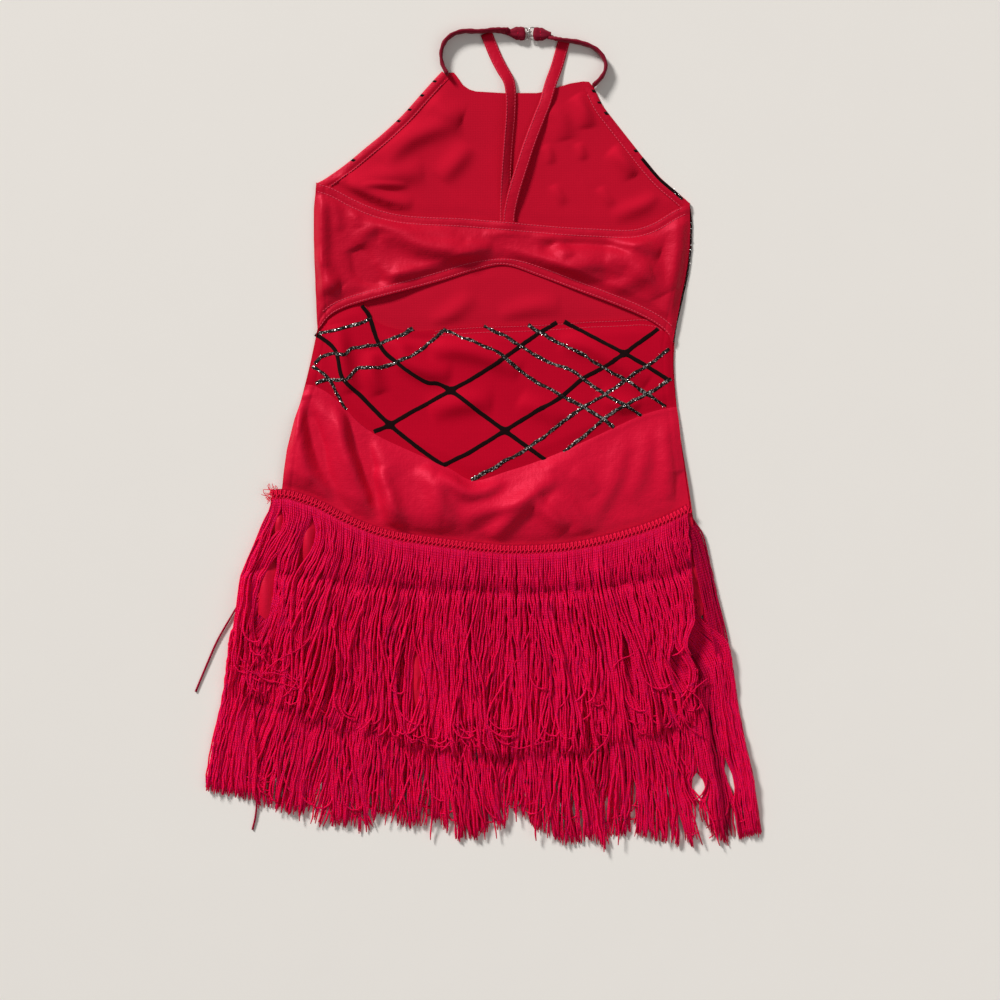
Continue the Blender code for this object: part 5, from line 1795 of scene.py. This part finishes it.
def make_stage():
    middle = PICTURE_MIDDLE
    bpy.ops.object.select_all(action='DESELECT')
    bpy.ops.mesh.primitive_grid_add(x_subdivisions=8, y_subdivisions=8, size=8)
    floor = bpy.context.object
    floor.name = "floor_paper"
    floor.data.materials.append(look("matte_backdrop_paper"))

    camera_data = bpy.data.cameras.new("overhead_camera")
    camera = bpy.data.objects.new("overhead_camera", camera_data)
    bpy.context.scene.collection.objects.link(camera)
    camera.location = middle + Vector((0, 0, CAMERA_HEIGHT))
    camera_data.sensor_width = SENSOR_WIDTH
    camera_data.lens = SENSOR_WIDTH * CAMERA_HEIGHT / VIEW_WIDTH
    bpy.context.scene.camera = camera

    key_way = Vector((-0.80, 0.95, 0.76)).normalized()
    add_light("key_softbox", middle + key_way * KEY_DISTANCE, middle, size=4.5, power=4350,
              colour=(1.0, 0.985, 0.97))
    fill_way = Vector((1.6, -0.9, 2.4))
    add_light("fill_softbox", middle + fill_way, middle, size=2.4, power=13,
              colour=(1.0, 1.0, 1.0))
    world = bpy.data.worlds.new("soft_room")
    world.use_nodes = True
    background = world.node_tree.nodes["Background"]
    background.inputs["Color"].default_value = (1.0, 0.99, 0.98, 1.0)
    background.inputs["Strength"].default_value = 0.2
    bpy.context.scene.world = world
    bpy.context.scene.view_settings.view_transform = 'Standard'


# Sizes, colours and tools for the sidebar

def size_property(name, description, default, lowest, highest):
    """A length; the three numbers are in millimetres."""
    return FloatProperty(name=name, description=description, default=default * MM,
                         min=lowest * MM, max=highest * MM, subtype='DISTANCE', unit='LENGTH')


class ClothSizes(PropertyGroup):
    wall: size_property("Cloth wall", "Thickness of the stretch knit", 0.9, 0.4, 2.0)
    hem_width: size_property("Hem width", "Width of the turned edges", 8.0, 4.0, 15.0)
    fold_depth: FloatProperty(
        name="Fold depth", description="How deep the creases are, 1 is as laid out",
        default=1.0, min=0.0, max=1.5, subtype='FACTOR')
    stitch: size_property("Stitch length", "From one stitch to the next", 3.0, 1.5, 6.0)
    thread: size_property("Thread", "Thickness of the sewing thread", 0.62, 0.2, 1.5)


class TrimSizes(PropertyGroup):
    velvet_width: size_property("Velvet width", "Width of the black lines", 4.6, 2.0, 12.0)
    glitter_width: size_property("Glitter width", "Width of the glitter lines", 3.7, 2.0, 12.0)
    flake: size_property("Flake", "Size of one foil flake", 0.85, 0.3, 3.0)
    flakes_per_mm: FloatProperty(
        name="Flakes per mm", description="How many flakes lie on a millimetre of line",
        default=0.55, min=0.1, max=4.0)


class FringeSizes(PropertyGroup):
    strand: size_property("Strand", "Thickness of one chainette strand", 1.8, 1.0, 4.0)


def colour_property(name, description, code):
    return FloatVectorProperty(name=name, description=description, subtype='COLOR',
                               default=linear_colour(code), min=0.0, max=1.0)


class LeotardColours(PropertyGroup):
    satin: colour_property("Satin", "Band, casings and straps", "C00C2A")
    # Painted highlight: the hip satin is the satin made lighter, for the sheen that the hips
    # catch
    hip: colour_property("Hip satin", "Hip panel, lit a little more", "CE0E31")
    inside: colour_property("Inside", "Matte inside of the front", "C2102C")
    inset: colour_property("Inset", "Cloth under the lattice", "BE0626")
    velvet: colour_property("Velvet", "Velvet and glitter ground", "0E0304")
    silver: colour_property("Silver", "Flakes and clasp wire", "D9D6D2")
    thread: colour_property("Thread", "Sewing thread of the hems", "E8506A")
    overlock: colour_property("Overlock", "Chain over the fringe headers", "F01442")
    fringe: colour_property("Fringe", "Chainette strands", "E80A4B")
    # Painted shade: the neck band is darker than the satin, for the shadow of the band standing
    # on edge
    neck: colour_property("Neck band", "Folded neck band", "7C0E26")
    floor: colour_property("Floor", "Backdrop paper", "F2EEE8")


class LEOTARD_OT_front_panel(Operator):
    """Front panel with its inside up"""
    bl_idname = "leotard.front_panel"
    bl_label = "Front panel"

    def execute(self, context):
        make_front_panel()
        return {'FINISHED'}


class LEOTARD_OT_armhole_casings(Operator):
    """Turned armhole edges with the marks of the outside lattice"""
    bl_idname = "leotard.armhole_casings"
    bl_label = "Armhole casings"

    def execute(self, context):
        make_armhole_casings()
        make_edge_ticks()
        make_edge_stripes()
        return {'FINISHED'}


class LEOTARD_OT_back_band(Operator):
    """Wide satin band across the back"""
    bl_idname = "leotard.back_band"
    bl_label = "Back band"

    def execute(self, context):
        make_back_part("back_band_cloth", "satin_warp_knit", "satin",
                       ("back_band", "band_top_casing", "band_arch_casing"),
                       BAND_ARCH, BAND_TOP, band_under)
        return {'FINISHED'}


class LEOTARD_OT_lower_back(Operator):
    """Inset below the keyhole"""
    bl_idname = "leotard.lower_back"
    bl_label = "Lower back"

    def execute(self, context):
        make_back_part("lower_back_cloth", "brushed_stretch_inset", "inset",
                       ("lower_back_panel",), V_SEAM, BACK_TOP, lower_back_under)
        return {'FINISHED'}


class LEOTARD_OT_hip_panel(Operator):
    """Satin hip panel down to the leg openings"""
    bl_idname = "leotard.hip_panel"
    bl_label = "Hip panel"

    def execute(self, context):
        make_back_part("hip_panel_cloth", "satin_warp_knit_hip", "satin", ("hip_panel",),
                       LEG_LINE, V_SEAM, hip_under, rows=111, gap=0.3)
        return {'FINISHED'}


class LEOTARD_OT_lattice(Operator):
    """Velvet and glitter lines of the lattice"""
    bl_idname = "leotard.lattice"
    bl_label = "Lattice"

    def execute(self, context):
        make_lattice()
        return {'FINISHED'}


class LEOTARD_OT_stitching(Operator):
    """Twin stitch lines along the hems"""
    bl_idname = "leotard.stitching"
    bl_label = "Stitching"

    def execute(self, context):
        make_stitching()
        return {'FINISHED'}


class LEOTARD_OT_straps(Operator):
    """Two crossing shoulder straps"""
    bl_idname = "leotard.straps"
    bl_label = "Straps"

    def execute(self, context):
        make_straps()
        return {'FINISHED'}


class LEOTARD_OT_neck_bands(Operator):
    """Both halves of the neck band"""
    bl_idname = "leotard.neck_bands"
    bl_label = "Neck bands"

    def execute(self, context):
        make_neck_bands()
        return {'FINISHED'}


class LEOTARD_OT_clasp(Operator):
    """Gathered tabs, hook and ring"""
    bl_idname = "leotard.clasp"
    bl_label = "Clasp"

    def execute(self, context):
        make_clasp()
        return {'FINISHED'}


class LEOTARD_OT_fringe(Operator):
    """Four rows of chainette on their overlocked headers"""
    bl_idname = "leotard.fringe"
    bl_label = "Fringe"

    def execute(self, context):
        make_strands()
        make_edge_strands()
        make_loose_strands()
        make_headers()
        make_frayed_end()
        return {'FINISHED'}


class LEOTARD_OT_stage(Operator):
    """Paper floor, overhead camera and soft light"""
    bl_idname = "leotard.stage"
    bl_label = "Stage"

    def execute(self, context):
        make_stage()
        return {'FINISHED'}


OPERATORS = (
    LEOTARD_OT_front_panel, LEOTARD_OT_armhole_casings, LEOTARD_OT_back_band,
    LEOTARD_OT_lower_back, LEOTARD_OT_hip_panel, LEOTARD_OT_lattice, LEOTARD_OT_stitching,
    LEOTARD_OT_straps, LEOTARD_OT_neck_bands, LEOTARD_OT_clasp, LEOTARD_OT_fringe,
    LEOTARD_OT_stage,
)


GROUPS = {"leotard_cloth": ClothSizes, "leotard_trim": TrimSizes,
          "leotard_fringe": FringeSizes, "leotard_colours": LeotardColours}


class VIEW3D_PT_leotard(Panel):
    """Sizes and colours of the leotard, and the tools that make its pieces"""
    bl_label = "Leotard"
    bl_idname = "VIEW3D_PT_leotard"
    bl_space_type = 'VIEW_3D'
    bl_region_type = 'UI'
    bl_category = "Leotard"

    def draw(self, context):
        for group, kind in GROUPS.items():
            box = self.layout.box()
            for name in kind.__annotations__:
                box.prop(getattr(context.scene, group), name)
        for tool in OPERATORS:
            self.layout.operator(tool.bl_idname)


CLASSES = (*GROUPS.values(), *OPERATORS, VIEW3D_PT_leotard)


def register():
    for item in CLASSES:
        bpy.utils.register_class(item)
    for group, kind in GROUPS.items():
        setattr(bpy.types.Scene, group, PointerProperty(type=kind))


def unregister():
    for group in GROUPS:
        delattr(bpy.types.Scene, group)
    for item in reversed(CLASSES):
        bpy.utils.unregister_class(item)


def main():
    register()
    bpy.ops.leotard.stage()
    bpy.ops.leotard.front_panel()
    bpy.ops.leotard.armhole_casings()
    bpy.ops.leotard.back_band()
    bpy.ops.leotard.lower_back()
    bpy.ops.leotard.hip_panel()
    bpy.ops.leotard.lattice()
    bpy.ops.leotard.stitching()
    bpy.ops.leotard.straps()
    bpy.ops.leotard.neck_bands()
    bpy.ops.leotard.clasp()
    bpy.ops.leotard.fringe()


if __name__ == "__main__":
    main()
